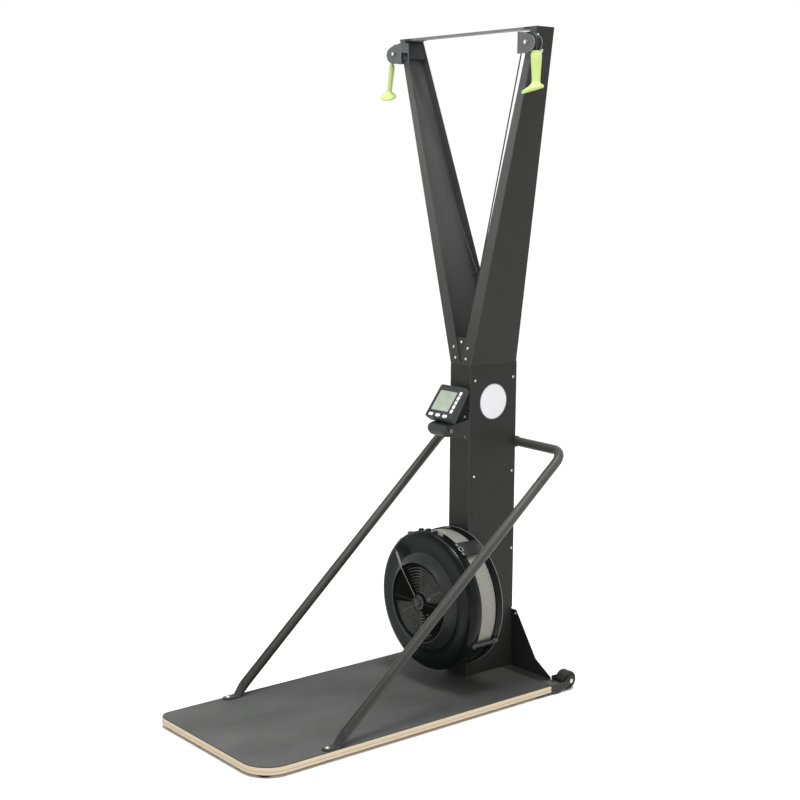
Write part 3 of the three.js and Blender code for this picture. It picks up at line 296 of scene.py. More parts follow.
def tube_paint_with_painted_light():
    """Satin grey-black of the brace tubes, paler towards their top bends: painted light from
    above.
    """
    made = Finish("powder_tube_painted_light", Specular_IOR_Level=0.36)
    amount = made.grained(7, 1100, 0.43, 0.07, 0.0002)
    low = made.tones(amount, (0.014, 0.0138, 0.013), (0.02, 0.0197, 0.0185))
    high = made.tones(amount, (0.048, 0.047, 0.0445), (0.07, 0.069, 0.065))
    # Painted light: the colour turns paler with height.
    height = made.span(made.axes()["Z"], 0.0, 1.0, 0.15, 0.95)
    made.feed("Base Color", made.mix(height, low, high))
    return made.material


def deck_mat():
    """Fine pebbled rubber, darker towards the rear: painted shade from the fan and the column."""
    made = Finish("deck_mat")
    inputs = {"Vector": made.place, "Scale": 420.0}
    pebble = made.node("TexVoronoi", inputs).outputs["Distance"]
    scuff = made.noise(5, 7, made.stretched(1, 0.6, 1))
    dust = made.noise(140, 3)
    fleck = made.noise(900, 1)
    amount = made.blend(made.blend(scuff, dust, 0.25), fleck, 0.2)
    # Painted shade: the colour darkens from the front towards the rear.
    painted_light_amount = made.span(made.axes()["Y"], 0.66, 0.1, -0.6, 0.45)
    made.colour(
        made.blend(amount, painted_light_amount, 0.5),
        (0.3, (0.024, 0.025, 0.023)),
        (0.5, (0.051, 0.053, 0.051)),
        (0.66, (0.083, 0.085, 0.082)),
    )
    made.feed("Roughness", made.span(scuff, 0.9, 0.72))
    made.relief(made.blend(pebble, fleck, 0.4), 0.0005, 0.7)
    return made.material


def braided(name, colour):
    """Cord with a slanted braid along its length."""
    made = Finish(name, Roughness=0.8)
    inputs = {"Scale": 260.0, "Distortion": 2.0, "Detail": 2.0}
    inputs["Vector"] = made.stretched(1, 1, 0.6)
    strands = made.node("TexWave", inputs, bands_direction="DIAGONAL").outputs["Fac"]
    amount = made.blend(strands, made.noise(700, 2), 0.4)
    made.colour(amount, (0.2, tone(colour, 0.6)), (0.8, tone(colour, 1.4)))
    made.relief(strands, 0.0004)
    return made.material


def display():
    """Pale liquid crystal glass with a faint cloud."""
    made = Finish("display", Roughness=0.22)
    cloud = made.noise(40, 3)
    dots = made.noise(1500, 1)
    amount = made.blend(cloud, dots, 0.3)
    made.colour(amount, (0.3, (0.275, 0.315, 0.255)), (0.7, (0.34, 0.38, 0.312)))
    made.relief(dots, 0.00003)
    return made.material


POWDER = coated("powder_black", (0.0205, 0.0203, 0.0192), 0.46, 0.18, 1100)
POWDER_WORN = coated("powder_edge", (0.043, 0.042, 0.04), 0.4, 0.3, 700, 0.0001, 0.3)
ARM = arm_paint_with_painted_light()
CROSSBAR = crossbar_painted_highlight()
TUBING = tube_paint_with_painted_light()
DARK = coated("powder_dark", (0.02, 0.0205, 0.02), 0.48, 0.3, 1100, 0.00025)
DARK_WORN = coated("powder_dark_edge", (0.045, 0.045, 0.043), 0.4, 0.35, 700, 0.0001, 0.3)
GREY = coated("grey_steel", (0.12, 0.122, 0.125), 0.4, 0.5, 600, 0.00012, 0.14, metal=0.45)
GREY_WORN = coated("grey_steel_edge", (0.3, 0.3, 0.3), 0.35, 0.5, 600, 0.0001, 0.2, metal=0.5)
BRIGHT = brushed("zinc", (0.78, 0.79, 0.8), 0.28)
SHELL = coated("fan_plastic", (0.0035, 0.005, 0.0048), 0.22, 0.13, 2500, 0.000004, 0.1, 5, 0.015)
SHELL_WORN = coated("fan_plastic_edge", (0.03, 0.033, 0.033), 0.36, 0.4, 900, 0.0001, 0.3)
FUNNEL = coated("inlet_plastic", (0.0125, 0.014, 0.0138), 0.4, 0.3, 900, 0.00002, 0.1)
GRILLE = coated("grille_plastic", (0.085, 0.085, 0.08), 0.38, 0.5, 900, 0.00005, 0.2, 30)
DISC = coated("damper_plastic", (0.0022, 0.0022, 0.002), 0.7, 0.04, 900, 0.00006, 0.2)
CLIP = coated("clip_plastic", (0.011, 0.011, 0.0095), 0.45, 0.35, 900, 0.0002, 0.2, 20)
# Pale grey for painted highlights: the rear rim bead and the damper lever blade.
PAINTED_HIGHLIGHT = coated("painted_highlight_grey", (0.16, 0.16, 0.155), 0.4, 0.4, 700, 0.0001, 0.2, 30)
BAND = coated("band_sheet", (0.24, 0.24, 0.208), 0.5, 0.4, 500, 0.0001, 0.12, 9, metal=0.1)
RUBBER = coated("rubber", (0.018, 0.018, 0.017), 0.7, 0.35, 500, 0.0003, 0.25, 30)
BLACK = coated("black_plastic", (0.013, 0.0135, 0.0135), 0.42, 0.35, 900, 0.0002, 0.2, 20)
LIME = coated("lime_plastic", (0.46, 0.58, 0.19), 0.46, 0.4, 1200, 0.00012, 0.07, 25)
CONSOLE = coated("console_plastic", (0.024, 0.029, 0.026), 0.5, 0.35, 1300, 0.0002, 0.14, 30)
WHITE = coated("white_rubber", (0.8, 0.81, 0.79), 0.55, 0.4, 1300, 0.0001, 0.05, 40)
VINYL = coated("white_vinyl", (0.72, 0.72, 0.735), 0.38, 0.4, 800, 0.00005, 0.04, 30)
VINYL_RIM = coated("vinyl_rim", (0.5, 0.5, 0.53), 0.4, 0.4, 800, 0.00005, 0.06, 30)
INK = coated("display_segments", (0.2, 0.24, 0.19), 0.4, 0.4, 900, 0.00005, 0.1, 30)
CORD = braided("drive_cord", (0.045, 0.045, 0.045))
ELASTIC = braided("return_elastic", (0.03, 0.034, 0.036))
PLYWOOD = plywood()
MAT = deck_mat()
MAT_EDGE = coated("deck_mat_edge", (0.045, 0.045, 0.044), 0.8, 0.3, 600, 0.0003, 0.25, 20)
DISPLAY = display()


# Shapes


def circle(radius, level, count):
    turns = [2 * pi * i / count for i in range(count)]
    return [Vector((radius * cos(t), radius * sin(t), level)) for t in turns]


def hexagon(radius, level, count):
    points = []
    for i in range(count):
        turn = 2 * pi * i / count
        off = turn % (pi / 3) - pi / 6
        reach = radius * cos(pi / 6) / cos(off)
        points.append(Vector((reach * cos(turn), reach * sin(turn), level)))
    return points


def bead(radius, level, size, count):
    """A small round section of (radius, level), to be turned into a ring."""
    turns = [2 * pi * i / count for i in range(count)]
    return [(radius + size * cos(t), level + size * sin(t)) for t in turns]


def mirrored(half):
    """A profile of (radius, level) with its mirror image past level 0."""
    return half + [(radius, -level) for radius, level in reversed(half)]


def rounded(width, height, corner, level, steps=6, x=0.0, y=0.0):
    """A rectangle with round corners, from its lower left corner on."""
    points = []
    for across, along, start in ((-1, -1, 180), (1, -1, 270), (1, 1, 0), (-1, 1, 90)):
        left = x + across * (width / 2 - corner)
        foot = y + along * (height / 2 - corner)
        for i in range(steps + 1):
            turn = radians(start + 90 * i / steps)
            point = (left + corner * cos(turn), foot + corner * sin(turn), level)
            points.append(Vector(point))
    return points


def tube_rings(path, radius, count):
    """Rings square to a path, each turned as little as it can be from the last."""
    rings = []
    side = None
    for i, point in enumerate(path):
        ahead = path[min(i + 1, len(path) - 1)] - point
        behind = point - path[max(i - 1, 0)]
        along = (ahead.normalized() + behind.normalized()).normalized()
        if side is None:
            side = along.orthogonal()
        side = (side - along * side.dot(along)).normalized()
        other = along.cross(side)
        ring = [point + (side * c.x + other * c.y) / 1000 for c in circle(radius, 0, count)]
        rings.append(ring)
    return rings


def facing(point, normal):
    """Millimetres in a frame whose z leaves the surface along normal."""
    turned = Vector(normal).normalized().to_track_quat("Z", "Y").to_matrix().to_4x4()
    return Matrix.Translation(point) @ turned @ MM


class Shape:
    """Points and faces of one piece, gathered before its mesh is made."""

    def __init__(self):
        self.points = []
        self.faces = []
        self.kinds = []

    def loft(self, rings, place=None, kind=0, loop=False):
        first = len(self.points)
        count = len(rings[0])
        for ring in rings:
            self.points += [place @ p if place else p for p in ring]
        for level in range(len(rings) if loop else len(rings) - 1):
            low = first + level * count
            high = first + (level + 1) % len(rings) * count
            for i in range(count):
                j = (i + 1) % count
                self.faces.append((low + i, low + j, high + j, high + i))
        if not loop:
            top = first + (len(rings) - 1) * count
            self.faces.append([first + i for i in reversed(range(count))])
            self.faces.append([top + i for i in range(count)])
        self.kinds += [kind] * (len(self.faces) - len(self.kinds))
        return self

    def turned(self, profile, count, place, kind=0, loop=False):
        """Rings of (radius, level) about the local z axis."""
        rings = [circle(radius, level, count) for radius, level in profile]
        return self.loft(rings, place, kind, loop)

    def about_fan(self, profile, count=144, loop=True):
        """Rings of (radius, y) about the fan's axis."""
        rings = []
        for radius, y in profile:
            rings.append([at(p.x, y, FAN_Z + p.y) for p in circle(radius, 0, count)])
        return self.loft(rings, loop=loop)

    def screw(self, point, normal, radius, height):
        """A round head with a hexagonal socket, on a thin washer."""
        n, r, h = 24, radius, height
        dome = ((1.25, 0.16), (1, 0.2), (1, 0.5), (0.93, 0.75), (0.78, 0.93), (0.6, 1))
        rings = [circle(r * 1.25, -0.4, n)]
        rings += [circle(r * size, h * level, n) for size, level in dome]
        rings += [hexagon(r * 0.5, h, n), hexagon(r * 0.48, h * 0.45, n)]
        self.loft(rings, facing(point, normal))

    def bolt(self, point, normal, radius, height):
        """A hexagonal head with a turned chamfer, on a washer."""
        n, r, h = 24, radius, height
        washer = ((r * 1.35, -0.4), (r * 1.35, h * 0.18), (r * 1.28, h * 0.22))
        rings = [circle(size, level, n) for size, level in washer]
        rings += [hexagon(r, h * 0.22, n), hexagon(r, h * 0.85, n), circle(r * 0.82, h, n)]
        self.loft(rings, facing(point, normal))

    def piece(self, name, body, slot, *finishes, smooth=35, replaces=()):
        mesh = bpy.data.meshes.new(name)
        mesh.from_pydata(self.points, [], self.faces)
        mesh.polygons.foreach_set("material_index", self.kinds)
        for finish in finishes:
            mesh.materials.append(finish)
        made = bmesh.new()
        made.from_mesh(mesh)
        bmesh.ops.recalc_face_normals(made, faces=made.faces)
        made.to_mesh(mesh)
        made.free()
        return shown(name, mesh, body, smooth, replaces)

    def stand_in(self, node, name, slot, *finishes, smooth=35):
        """A piece in a CAD node's place; a name like _grip is added to the node's."""
        name, body = (node + name if name[0] == "_" else name), body_of[node]
        return self.piece(name, body, slot, *finishes, smooth=smooth, replaces=(node,))


def shade(mesh, angle):
    """Smooth, but for edges sharper than the angle in degrees."""
    mesh.shade_smooth()
    mesh.set_sharp_from_angle(angle=radians(angle))


def shown(name, mesh, body, smooth=35, replaces=()):
    shade(mesh, smooth)
    made = linked(name, mesh)
    if body:
        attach(made, body)
    if replaces:
        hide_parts(*replaces)
    return made


def settle(made):
    """The object's mesh with its modifiers worked in."""
    graph = bpy.context.evaluated_depsgraph_get()
    mesh = bpy.data.meshes.new_from_object(made.evaluated_get(graph), depsgraph=graph)
    made.modifiers.clear()
    made.data = mesh


def refined(node, slot, width, *finishes, steps=2):
    """The CAD node's own form with its edges rounded over; rounded edges take finish two."""
    mesh = frame["nodes"][node].data.copy()
    mesh.materials.clear()
    for finish in finishes:
        mesh.materials.append(finish)
    made = bmesh.new()
    made.from_mesh(mesh)
    bmesh.ops.remove_doubles(made, verts=made.verts, dist=2e-6)
    flat = radians(0.5)
    bmesh.ops.dissolve_limit(made, angle_limit=flat, verts=made.verts, edges=made.edges)
    bmesh.ops.recalc_face_normals(made, faces=made.faces)
    for face in made.faces:
        face.material_index = 0
    made.to_mesh(mesh)
    made.free()
    for spare in ("custom_normal", "sharp_face", "sharp_edge"):
        if spare in mesh.attributes:
            mesh.attributes.remove(mesh.attributes[spare])
    piece = shown(node + "_skin", mesh, body_of[node], 40, (node,))
    bevel = piece.modifiers.new("edges", "BEVEL")
    bevel.width = width / 1000
    bevel.segments = steps
    bevel.limit_method = "ANGLE"
    bevel.angle_limit = radians(42)
    bevel.material = len(finishes) - 1
    bevel.use_clamp_overlap = True
    settle(piece)
    shade(piece.data, 50)
    weighted = piece.modifiers.new("normals", "WEIGHTED_NORMAL")
    weighted.keep_sharp = True


body_of = {
    node: body for body, nodes in frame["record"]["behaviour"]["bodies"].items() for node in nodes
}


# Cords: over the top pulley, past the roller in the fork, and down to the drum

CORD_R = 2.2
CORD_POINTS = 14
PULLEY = (322.0, 992.2, 2141.6)
PULLEY_R = 29.0
ROLLER = (14.5, 1085.0, 1410.6)
ROLLER_R = 9.5
DRUM_R = 28.0
DRUM_Y = {"left": 1055.5, "right": 1089.5}
HANDLE_X = PULLEY[0] + PULLEY_R
HANDLE_TOP = 2107.6


def arc(centre, radius, start, end, steps):
    x, y, z = centre
    turns = [start + (end - start) * i / steps for i in range(steps + 1)]
    return [(x + radius * cos(t), y, z + radius * sin(t)) for t in turns]


def make_cords():
    along = (Vector(PULLEY) - Vector(ROLLER)).xz
    spread = asin((PULLEY_R - ROLLER_R) / along.length)
    wrap = atan2(along.y, along.x) - spread + pi / 2
    route = arc(PULLEY, PULLEY_R, 0, wrap, 28) + arc(ROLLER, ROLLER_R, wrap, pi, 10)
    for side, sign in SIDES:
        path = [at(x * sign, y, z) for x, y, z in route]
        path.append(at(DRUM_R, DRUM_Y[side], FAN_Z))
        shape = Shape().loft(tube_rings(path, CORD_R, CORD_POINTS))
        shape.stand_in(f"drive_cord_{side}", "_braid", "cord", CORD, smooth=60)
        top = at(sign * HANDLE_X, PULLEY[1], PULLEY[2] - 0.3)
        foot = at(sign * HANDLE_X, PULLEY[1], HANDLE_TOP + 8.6)
        steps = 12
        path = [top.lerp(foot, i / steps) for i in range(steps + 1)]
        shape = Shape().loft(tube_rings(path, CORD_R, CORD_POINTS))
        node = f"cord_tail_{side}"
        tail = shape.piece(f"{node}_braid", None, "cord", CORD, smooth=60, replaces=(node,))
        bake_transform(tail)


make_cords()


# Deck, beam and wheels

WHEEL = (272.5, 1267.1, 34)


def dark_steel(node, width):
    refined(node, "dark_steel", width, DARK, DARK_WORN)


def grey_steel(node, width):
    refined(node, "grey_steel", width, GREY, GREY_WORN)


def make_deck():
    refined("deck_board", "plywood", 2.2, PLYWOOD, steps=3)
    refined("deck_mat", "deck_mat", 0.8, MAT, MAT_EDGE)
    for end in ("front", "rear"):
        for side, _ in SIDES:
            refined(f"deck_foot_{end}_{side}", "rubber", 1.5, RUBBER, steps=3)
    dark_steel("rear_beam", 1.0)
    dark_steel("rear_gusset_plate", 0.8)
    half = [(6.3, -18.5), (14.0, -18.5), (15.0, -17.6), (15.0, -14.5), (24.5, -14.5)]
    half += [(26.0, -15.6), (28.0, -18.0), (29.2, -18.5), (30.6, -17.4), (31.5, -15.4)]
    half += [(31.5, -6.8), (30.7, -6.2), (30.7, -5.2), (31.5, -4.6)]
    x, y, z = WHEEL
    for side, sign in SIDES:
        dark_steel(f"wheel_bracket_{side}", 0.9)
        axis = facing(at(sign * x, y, z), (1, 0, 0))
        shape = Shape().turned(mirrored(half), 64, axis, loop=True)
        shape.stand_in(f"transport_wheel_{side}", "_tyre", "rubber", RUBBER)
    caps = Shape()
    for _, sign in SIDES:
        rings = [rounded(38, 23.4, 3, level) for level in (-2, 0, 0.7)]
        rings.append(rounded(36.4, 21.8, 2.4, 1.0))
        end = Matrix.Translation(at(sign * 293.0, 1200.3, 22.9))
        turn = Matrix(((0, 0, sign), (1, 0, 0), (0, 1, 0))).to_4x4()
        caps.loft(rings, end @ turn @ MM)
    caps.piece("beam_end_caps", "frame", "black_plastic", BLACK)


make_deck()


# Tower


def make_tower():
    refined("tower_column", "black_steel", 1.2, POWDER, POWDER_WORN, steps=3)
    for side, _ in SIDES:
        refined(f"arm_{side}", "black_steel", 1.2, ARM, POWDER_WORN, steps=3)
    dark_steel("column_back_cover", 0.8)
    dark_steel("junction_plate", 0.8)
    refined("top_crossbar", "dark_steel", 0.8, CROSSBAR, CROSSBAR)
    dark_steel("cord_guide_mast", 0.5)
    for side, _ in SIDES:
        grey_steel(f"pulley_bracket_{side}", 0.6)
        refined(f"guide_roller_{side}", "black_plastic", 0.4, BLACK, BLACK)
        refined(f"cord_drum_{side}", "black_plastic", 0.5, BLACK, BLACK)
    for end in ("front", "rear"):
        grey_steel(f"shaft_bearing_{end}", 0.6)
    refined("drive_shaft", "bright_steel", 0.6, BRIGHT)


def make_pulleys():
    half = [(5.3, -9.0), (31.4, -9.0), (32.3, -8.3), (32.5, -7.4)]
    half += [(32.2, -6.4), (28.2, -3.0), (26.9, -1.7), (26.5, -0.6)]
    x, y, z = PULLEY
    for side, sign in SIDES:
        axis = facing(at(sign * x, y, z), REAR)
        shape = Shape().turned(mirrored(half), 64, axis, loop=True)
        shape.stand_in(f"top_pulley_{side}", "_wheel", "black_plastic", BLACK)


make_tower()
make_pulleys()


# Handles


def smooth_between(values, place):
    """Value at a fractional place of a list, on a curve through its entries."""
    i = min(int(place), len(values) - 2)
    t = place - i
    a, b = values[i], values[i + 1]
    before, after = values[max(i - 1, 0)], values[min(i + 2, len(values) - 1)]
    m, n = (b - before) / 2, (after - a) / 2
    return (
        (2 * t**3 - 3 * t**2 + 1) * a
        + (t**3 - 2 * t**2 + t) * m
        + (3 * t**2 - 2 * t**3) * b
        + (t**3 - t**2) * n
    )


GRIP_TURN = 50.8
GRIP = {
    "level": [0, 3, 11, 33, 56, 78, 88, 96, 103, 109, 113],
    "width": [16, 17, 17.2, 16, 14.4, 13.4, 14, 19.8, 31, 34.5, 32],
    "depth": [6, 8.5, 9.5, 9, 8.4, 8.4, 9.5, 17, 25, 26.5, 22],
    "bow": [0, 0, 0.5, 2.5, 5, 8, 9.5, 10, 10, 10, 10],
    "shift": [0, 0, 0, 0, 0, 0, -1, -5, -10, -10, -10],
    "tilt": [0, 0, 0, 0, 0, 0.05, 0.16, 0.26, 0.3, 0.3, 0.3],
}


def grip_ring(place, shrink=1.0, drop=0.0):
    """The grip's outline at a fractional place of the lists above."""
    here = {key: smooth_between(values, place) for key, values in GRIP.items()}
    points = []
    for c in circle(1, 0, 40):
        across = here["width"] * shrink * c.x
        out = here["depth"] * shrink * c.y - here["bow"]
        level = across * here["tilt"] - here["level"] - drop
        points.append(Vector((across + here["shift"], out, level)))
    return points


def make_handles():
    last = len(GRIP["level"]) - 1
    grip = [grip_ring(0, 0.8)]
    grip += [grip_ring(i * last / 50) for i in range(51)]
    grip += [grip_ring(last, 0.93), grip_ring(last, 0.8), grip_ring(last, 0.3)]
    sizes = ((0.3, 0.98), (-1, 1), (-5, 0.97), (-7, 0.9), (-8, 0.76), (-8.2, 0.5))
    ball = [grip_ring(0, share, level) for level, share in sizes][::-1]
    for side, sign in SIDES:
        place = (
            Matrix.Translation(at(sign * HANDLE_X, PULLEY[1], HANDLE_TOP))
            @ Matrix.Diagonal((sign, 1, 1, 1))
            @ Matrix.Rotation(radians(GRIP_TURN), 4, "Z")
            @ MM
        )
        shape = Shape().loft(grip, place)
        shape.stand_in(f"handle_{side}", "_grip", "lime_plastic", LIME, smooth=50)
        shape = Shape().loft(ball, place)
        shape.stand_in(f"cord_stop_{side}", "_ball", "lime_plastic", LIME)


make_handles()


# Fan: angles are in degrees about its axis, from the right side upwards


def drum_point(angle, radius, y):
    turn = radians(angle)
    return at(radius * cos(turn), y, FAN_Z + radius * sin(turn))


def outward(angle):
    return (cos(radians(angle)), 0, sin(radians(angle)))


def on_drum(angle, radius, y):
    return facing(drum_point(angle, radius, y), outward(angle))


def spoke(angle, reach, section):
    """A section of (across, y) at a reach along one spoke."""
    across = Vector(outward(angle + 90)) / 1000
    middle = drum_point(angle, reach, 0)
    return [middle + across * a + Vector((0, y / 1000, 0)) for a, y in section]


def quarter(radius, y, size, steps):
    """A quarter turn of a profile, from its outer side to its front."""
    turns = [pi / 2 * i / steps for i in range(steps + 1)]
    return [(radius + size * cos(t), y - size * sin(t)) for t in turns]


def strap(shape, angle, half, front, rear, inner, outer, kind=0):
    """A rounded bar over the drum, bowed to the drum's curve."""
    rings = []
    height = outer - inner
    stations = ((front, 2.4), (front + 0.8, 0.9), (front + 2.4, 0))
    stations += ((rear - 2.4, 0), (rear - 0.8, 0.9), (rear, 2.4))
    for y, inset in stations:
        ring = []
        section = rounded(2 * (half - inset), height - 2 * inset, 2.6, 0, 4)
        for p, after in zip(section, section[1:] + section[:1]):
            parts = max(1, round((after - p).length / 5))
            for k in range(parts):
                spot = p.lerp(after, k / parts)
                turn = angle + degrees(spot.x / outer)
                ring.append(drum_point(turn, inner + height / 2 + spot.y, y))
        rings.append(ring)
    count = min(len(ring) for ring in rings)
    shape.loft([ring[:count] for ring in rings], kind=kind)


def make_fan_front():
    """Dished cover with a rounded rim and a conical inlet, its grille and hub."""
    rim = [(236.5, 908.5), (237, 907.8), *quarter(215, 885, 22, 12)]
    face = [(200, 863), (186, 863.1), (168, 863.2), (164.6, 862.4)]
    cone = [(139.2, 834.9), (138.2, 833.7), (137, 833.05), (135.4, 833), (134.3, 833.6)]
    inside = [(134, 834.6), (134, 847), (145.6, 847), (161.5, 865.8), (186, 866)]
    back = quarter(215, 885, 19, 6)[::-1]
    shape = Shape()
    count = 144
    shape.about_fan([*rim, *face, *cone, *inside, *back, (234, 908), (234.5, 908.5)], count)
    first = (len(rim) + len(face) - 1) * count
    funnel = (len(cone) + 2) * count
    shape.kinds[first : first + funnel] = [1] * funnel
    shape.stand_in("fan_front_cover", "fan_front_shell", "black_plastic", SHELL, FUNNEL, smooth=40)
    grille = Shape()
    wire = [(-1.4, 843.8), (-0.8, 843), (0.8, 843), (1.4, 843.8), (1.4, 846.6), (-1.4, 846.6)]
    for i in range(10):
        grille.about_fan([(36 + 10 * i + r, y) for r, y in wire], 96)
    bar = ((-1.4, 845), (1.4, 845), (1.4, 847), (-1.4, 847))
    for i in range(6):
        grille.loft([spoke(60 * (i + 0.5), reach, bar) for reach in (14, 80, 135.5)])
    grille.piece("fan_grille", "frame", "black_plastic", GRILLE, smooth=30)
    dome = [(13, 846), (13, 834.4), (12.4, 833.2), (10.8, 832.5), (8, 832.2), (3, 832)]
    hub = Shape().about_fan([(30, 847), (30, 845.4), (29, 844.8), *dome], 48, loop=False)
    hub.piece("fan_hub_cap", "frame", "black_plastic", FUNNEL)


def make_fan_band():
    """Thin perforated sheet round the drum: square cells, each with an octagonal hole."""
    columns, rows = 204, 9
    low, high = 908.4, 975.6
    margin, hole = 2.4, 1.5
    layers = (229.0, 228.2)
    pitch = (high - low - 2 * margin) / rows
    step = 360 / columns
    arc_length = 2 * pi * 229 / columns
    levels = [low] + [low + margin + pitch * j for j in range(rows + 1)] + [high]
    turns = [radians(22.5 + 45 * k) for k in range(8)]
    square = ((0, 0), (1, 0), (1, 1), (0, 1))
    nearest = (2, 2, 3, 3, 0, 0, 1, 1)
    shape = Shape()
    grid = {}

    def pair(key, angle, y):
        """The outer and the inner point of one place, made when first asked for."""
        if key not in grid:
            grid[key] = (len(shape.points), len(shape.points) + 1)
            shape.points += [drum_point(angle, radius, y) for radius in layers]
        return grid[key]

    def sheet(pairs):
        shape.faces.append([p[0] for p in pairs])
        shape.faces.append([p[1] for p in reversed(pairs)])

    for c in range(columns):
        for j in range(len(levels) - 1):
            corners = []
            for dc, dj in square:
                key = ((c + dc) % columns, j + dj)
                corners.append(pair(key, (c + dc) * step, levels[j + dj]))
            if j in (0, len(levels) - 2):
                sheet(corners)
                continue
            middle = (c + 0.5) * step
            centre = (levels[j] + levels[j + 1]) / 2
            ring = []
            for k, t in enumerate(turns):
                turn = middle + step * hole / arc_length * cos(t)
                ring.append(pair((c, j, k), turn, centre + hole * sin(t)))
            for k in range(8):
                a, b = ring[k], ring[(k + 1) % 8]
                p, q = corners[nearest[k]], corners[nearest[(k + 1) % 8]]
                sheet([a, p, b] if p == q else [a, p, q, b])
                shape.faces.append([a[0], b[0], b[1], a[1]])
        for j in (0, len(levels) - 1):
            shape.faces.append([grid[(c + d) % columns, j][n] for d, n in square])
    shape.kinds = [0] * len(shape.faces)
    shape.stand_in("fan_mesh_band", "fan_perforated_band", "grey_mesh", BAND, smooth=25)


def make_painted_shade_sheet():
    """A dark sheet over the band's lowest part: painted shade where the drum's underside lies in
    shadow.
    """
    section = ((229.1, 908.3), (231.2, 908.3), (231.6, 909))
    section += ((231.6, 975), (231.2, 975.7), (229.1, 975.7))
    turns = [239 + 1.5 * i for i in range(61)]
    shape = Shape().loft([[drum_point(turn, r, y) for r, y in section] for turn in turns])
    shape.piece("fan_painted_shade_sheet", "frame", "black_plastic", SHELL, smooth=30)


def make_fan_rear():
    profile = [(22, 1006.7), (200, 1006.7), (229, 1001.4), (231, 999.5), (231, 979)]
    profile += [(224.8, 979), (224.6, 978.6), (224.6, 976.6), (225.2, 976), (232.8, 976)]
    profile += [(233.7, 976.4), (234, 977.2), (234, 999), (233.9, 1001.2), (233.2, 1003)]
    profile += [(231.6, 1004.2), (200, 1009.7), (22, 1009.7)]
    shape = Shape().about_fan(profile)
    shape.stand_in("fan_rear_cover", "fan_rear_shell", "black_plastic", SHELL)
    # Painted highlight: a pale bead along the rear rim.
    shape = Shape().about_fan(bead(233.9, 1002.4, 1.2, 8))
    shape.piece("fan_rear_painted_highlight_bead", "frame", "black_plastic", PAINTED_HIGHLIGHT, smooth=60)


def make_ties():
    """Bars across the band, the wide clip with its eyelet, and lugs on the front rim."""
    ties = Shape()
    pins = Shape()
    strap(ties, 56, 28.8, 894, 990, 234.8, 244)
    knob = [(11.6, -10), (12, -1), (11.4, 0.8), (9.4, 1.9), (4, 2.4)]
    for angle in (153, 236, 333):
        strap(ties, angle, 7.6, 890, 994, 234.8, 245.4, 1)
        for y in (898, 986):
            ties.turned(knob, 28, on_drum(angle, 244.6, y), 1)
    for angle, wide in ((86, 5), (95, 8), (104, 6), (119, 8), (134, 9)):
        strap(ties, angle, wide, 885, 902, 233, 242.6)
    ties.piece("fan_ties", "frame", "black_plastic", CLIP, SHELL_WORN)
    for angle in (95, 104, 119, 132, 137):
        pins.screw(drum_point(angle, 242.4, 890), outward(angle), 3.2, 2.0)
    eye = on_drum(55.5, 244.2, 900)
    pins.turned(bead(7.6, 0, 1.6, 10), 28, eye, loop=True)
    tab = [rounded(5, 8, 1.5, level) for level in (-0.5, 0.9)]
    tab.append(rounded(4.2, 7.2, 1.3, 1.3))
    for angle in (51, 60.5):
        pins.loft(tab, on_drum(angle, 244, 897))
    pins.piece("fan_clip_hardware", "frame", "grey_steel", GREY_WORN)
    # Painted shade: a near-black disc in the eyelet stands for its dark hole.
    painted_hole_shade = Shape().turned([(6.6, -0.5), (6.6, 0.25), (6.3, 0.3)], 28, eye)
    painted_hole_shade.piece("fan_clip_hole_painted_shade", "frame", "black_plastic", DISC)


def make_damper():
    """The turning disc keeps its form; hub ring, ribs, rivets and lever blade lie on it."""
    refined("damper_disc", "black_plastic", 0.4, DISC, SHELL_WORN)
    trim = Shape()
    ring = [(14.2, 838), (14.2, 835.4), (14.8, 834.8), (25.6, 834.8), (26.8, 835.6)]
    trim.about_fan([*ring, (27.2, 838)], 64)
    stations = ((24, 832.4, 1.6), (80, 830.9, 1.4), (126, 829.7, 1.6), (136, 829.6, 3))
    stations += ((148, 830.6, 5.2), (166, 832.8, 5.6), (186, 835, 4.2), (204.6, 837, 2))
    blade = ((-1, 1.3), (-0.75, -0.9), (0, -1.5), (0.75, -0.9), (1, 1.3))
    lever = 129
    rings = []
    for reach, y, half in stations:
        rings.append(spoke(lever, reach, [(a * half, y + b) for a, b in blade]))
    # The lever blade takes the pale grey finish, a painted highlight.
    trim.loft(rings, kind=1)
    rib = ((-1, 837.3), (-0.5, 836.4), (0.5, 836.4), (1, 837.3))
    for angle in (0, 180):
        trim.loft([spoke(angle, reach, rib) for reach in (29, 127)])
    trim.piece("damper_trim", "damper", "black_plastic", FUNNEL, PAINTED_HIGHLIGHT, smooth=30)
    rivets = Shape()
    for angle, reach in ((-36, 58), (-46, 66)):
        rivets.screw(drum_point(angle, reach, 837), FRONT, 2.6, 1.6)
    rivets.piece("damper_rivets", "damper", "grey_steel", GREY)


make_fan_front()
make_fan_band()
make_painted_shade_sheet()
make_fan_rear()
make_ties()
make_damper()
grey_steel("flywheel", 0.8)


# Side braces and the crossbar tube

TUBE = 16.0
TUBE_POINTS = 40
CROSS_Y, CROSS_Z = 1238.6, 830.6
TAB_Y = 253
BRACE_FOOT = Vector((275, 287, DECK + 8))
BRACE_CORNER = Vector((297, 1210, 835.6))
BRACE_FLAT = Vector((58, CROSS_Y, CROSS_Z))
JOINT_SHARE = 0.885
BEND = 55.0


def bend(before, corner, after, steps):
    back = (before - corner).normalized()
    on = (after - corner).normalized()
    half = back.angle(on) / 2
    reach = BEND / tan(half)
    centre = corner + (back + on).normalized() * (BEND / sin(half))
    first = corner + back * reach - centre
    last = corner + on * reach - centre
    turn = pi - 2 * half
    points = []
    for i in range(steps + 1):
        t = i / steps
        a = sin(turn * (1 - t)) / sin(turn)
        b = sin(turn * t) / sin(turn)
        points.append(centre + first * a + last * b)
    return points


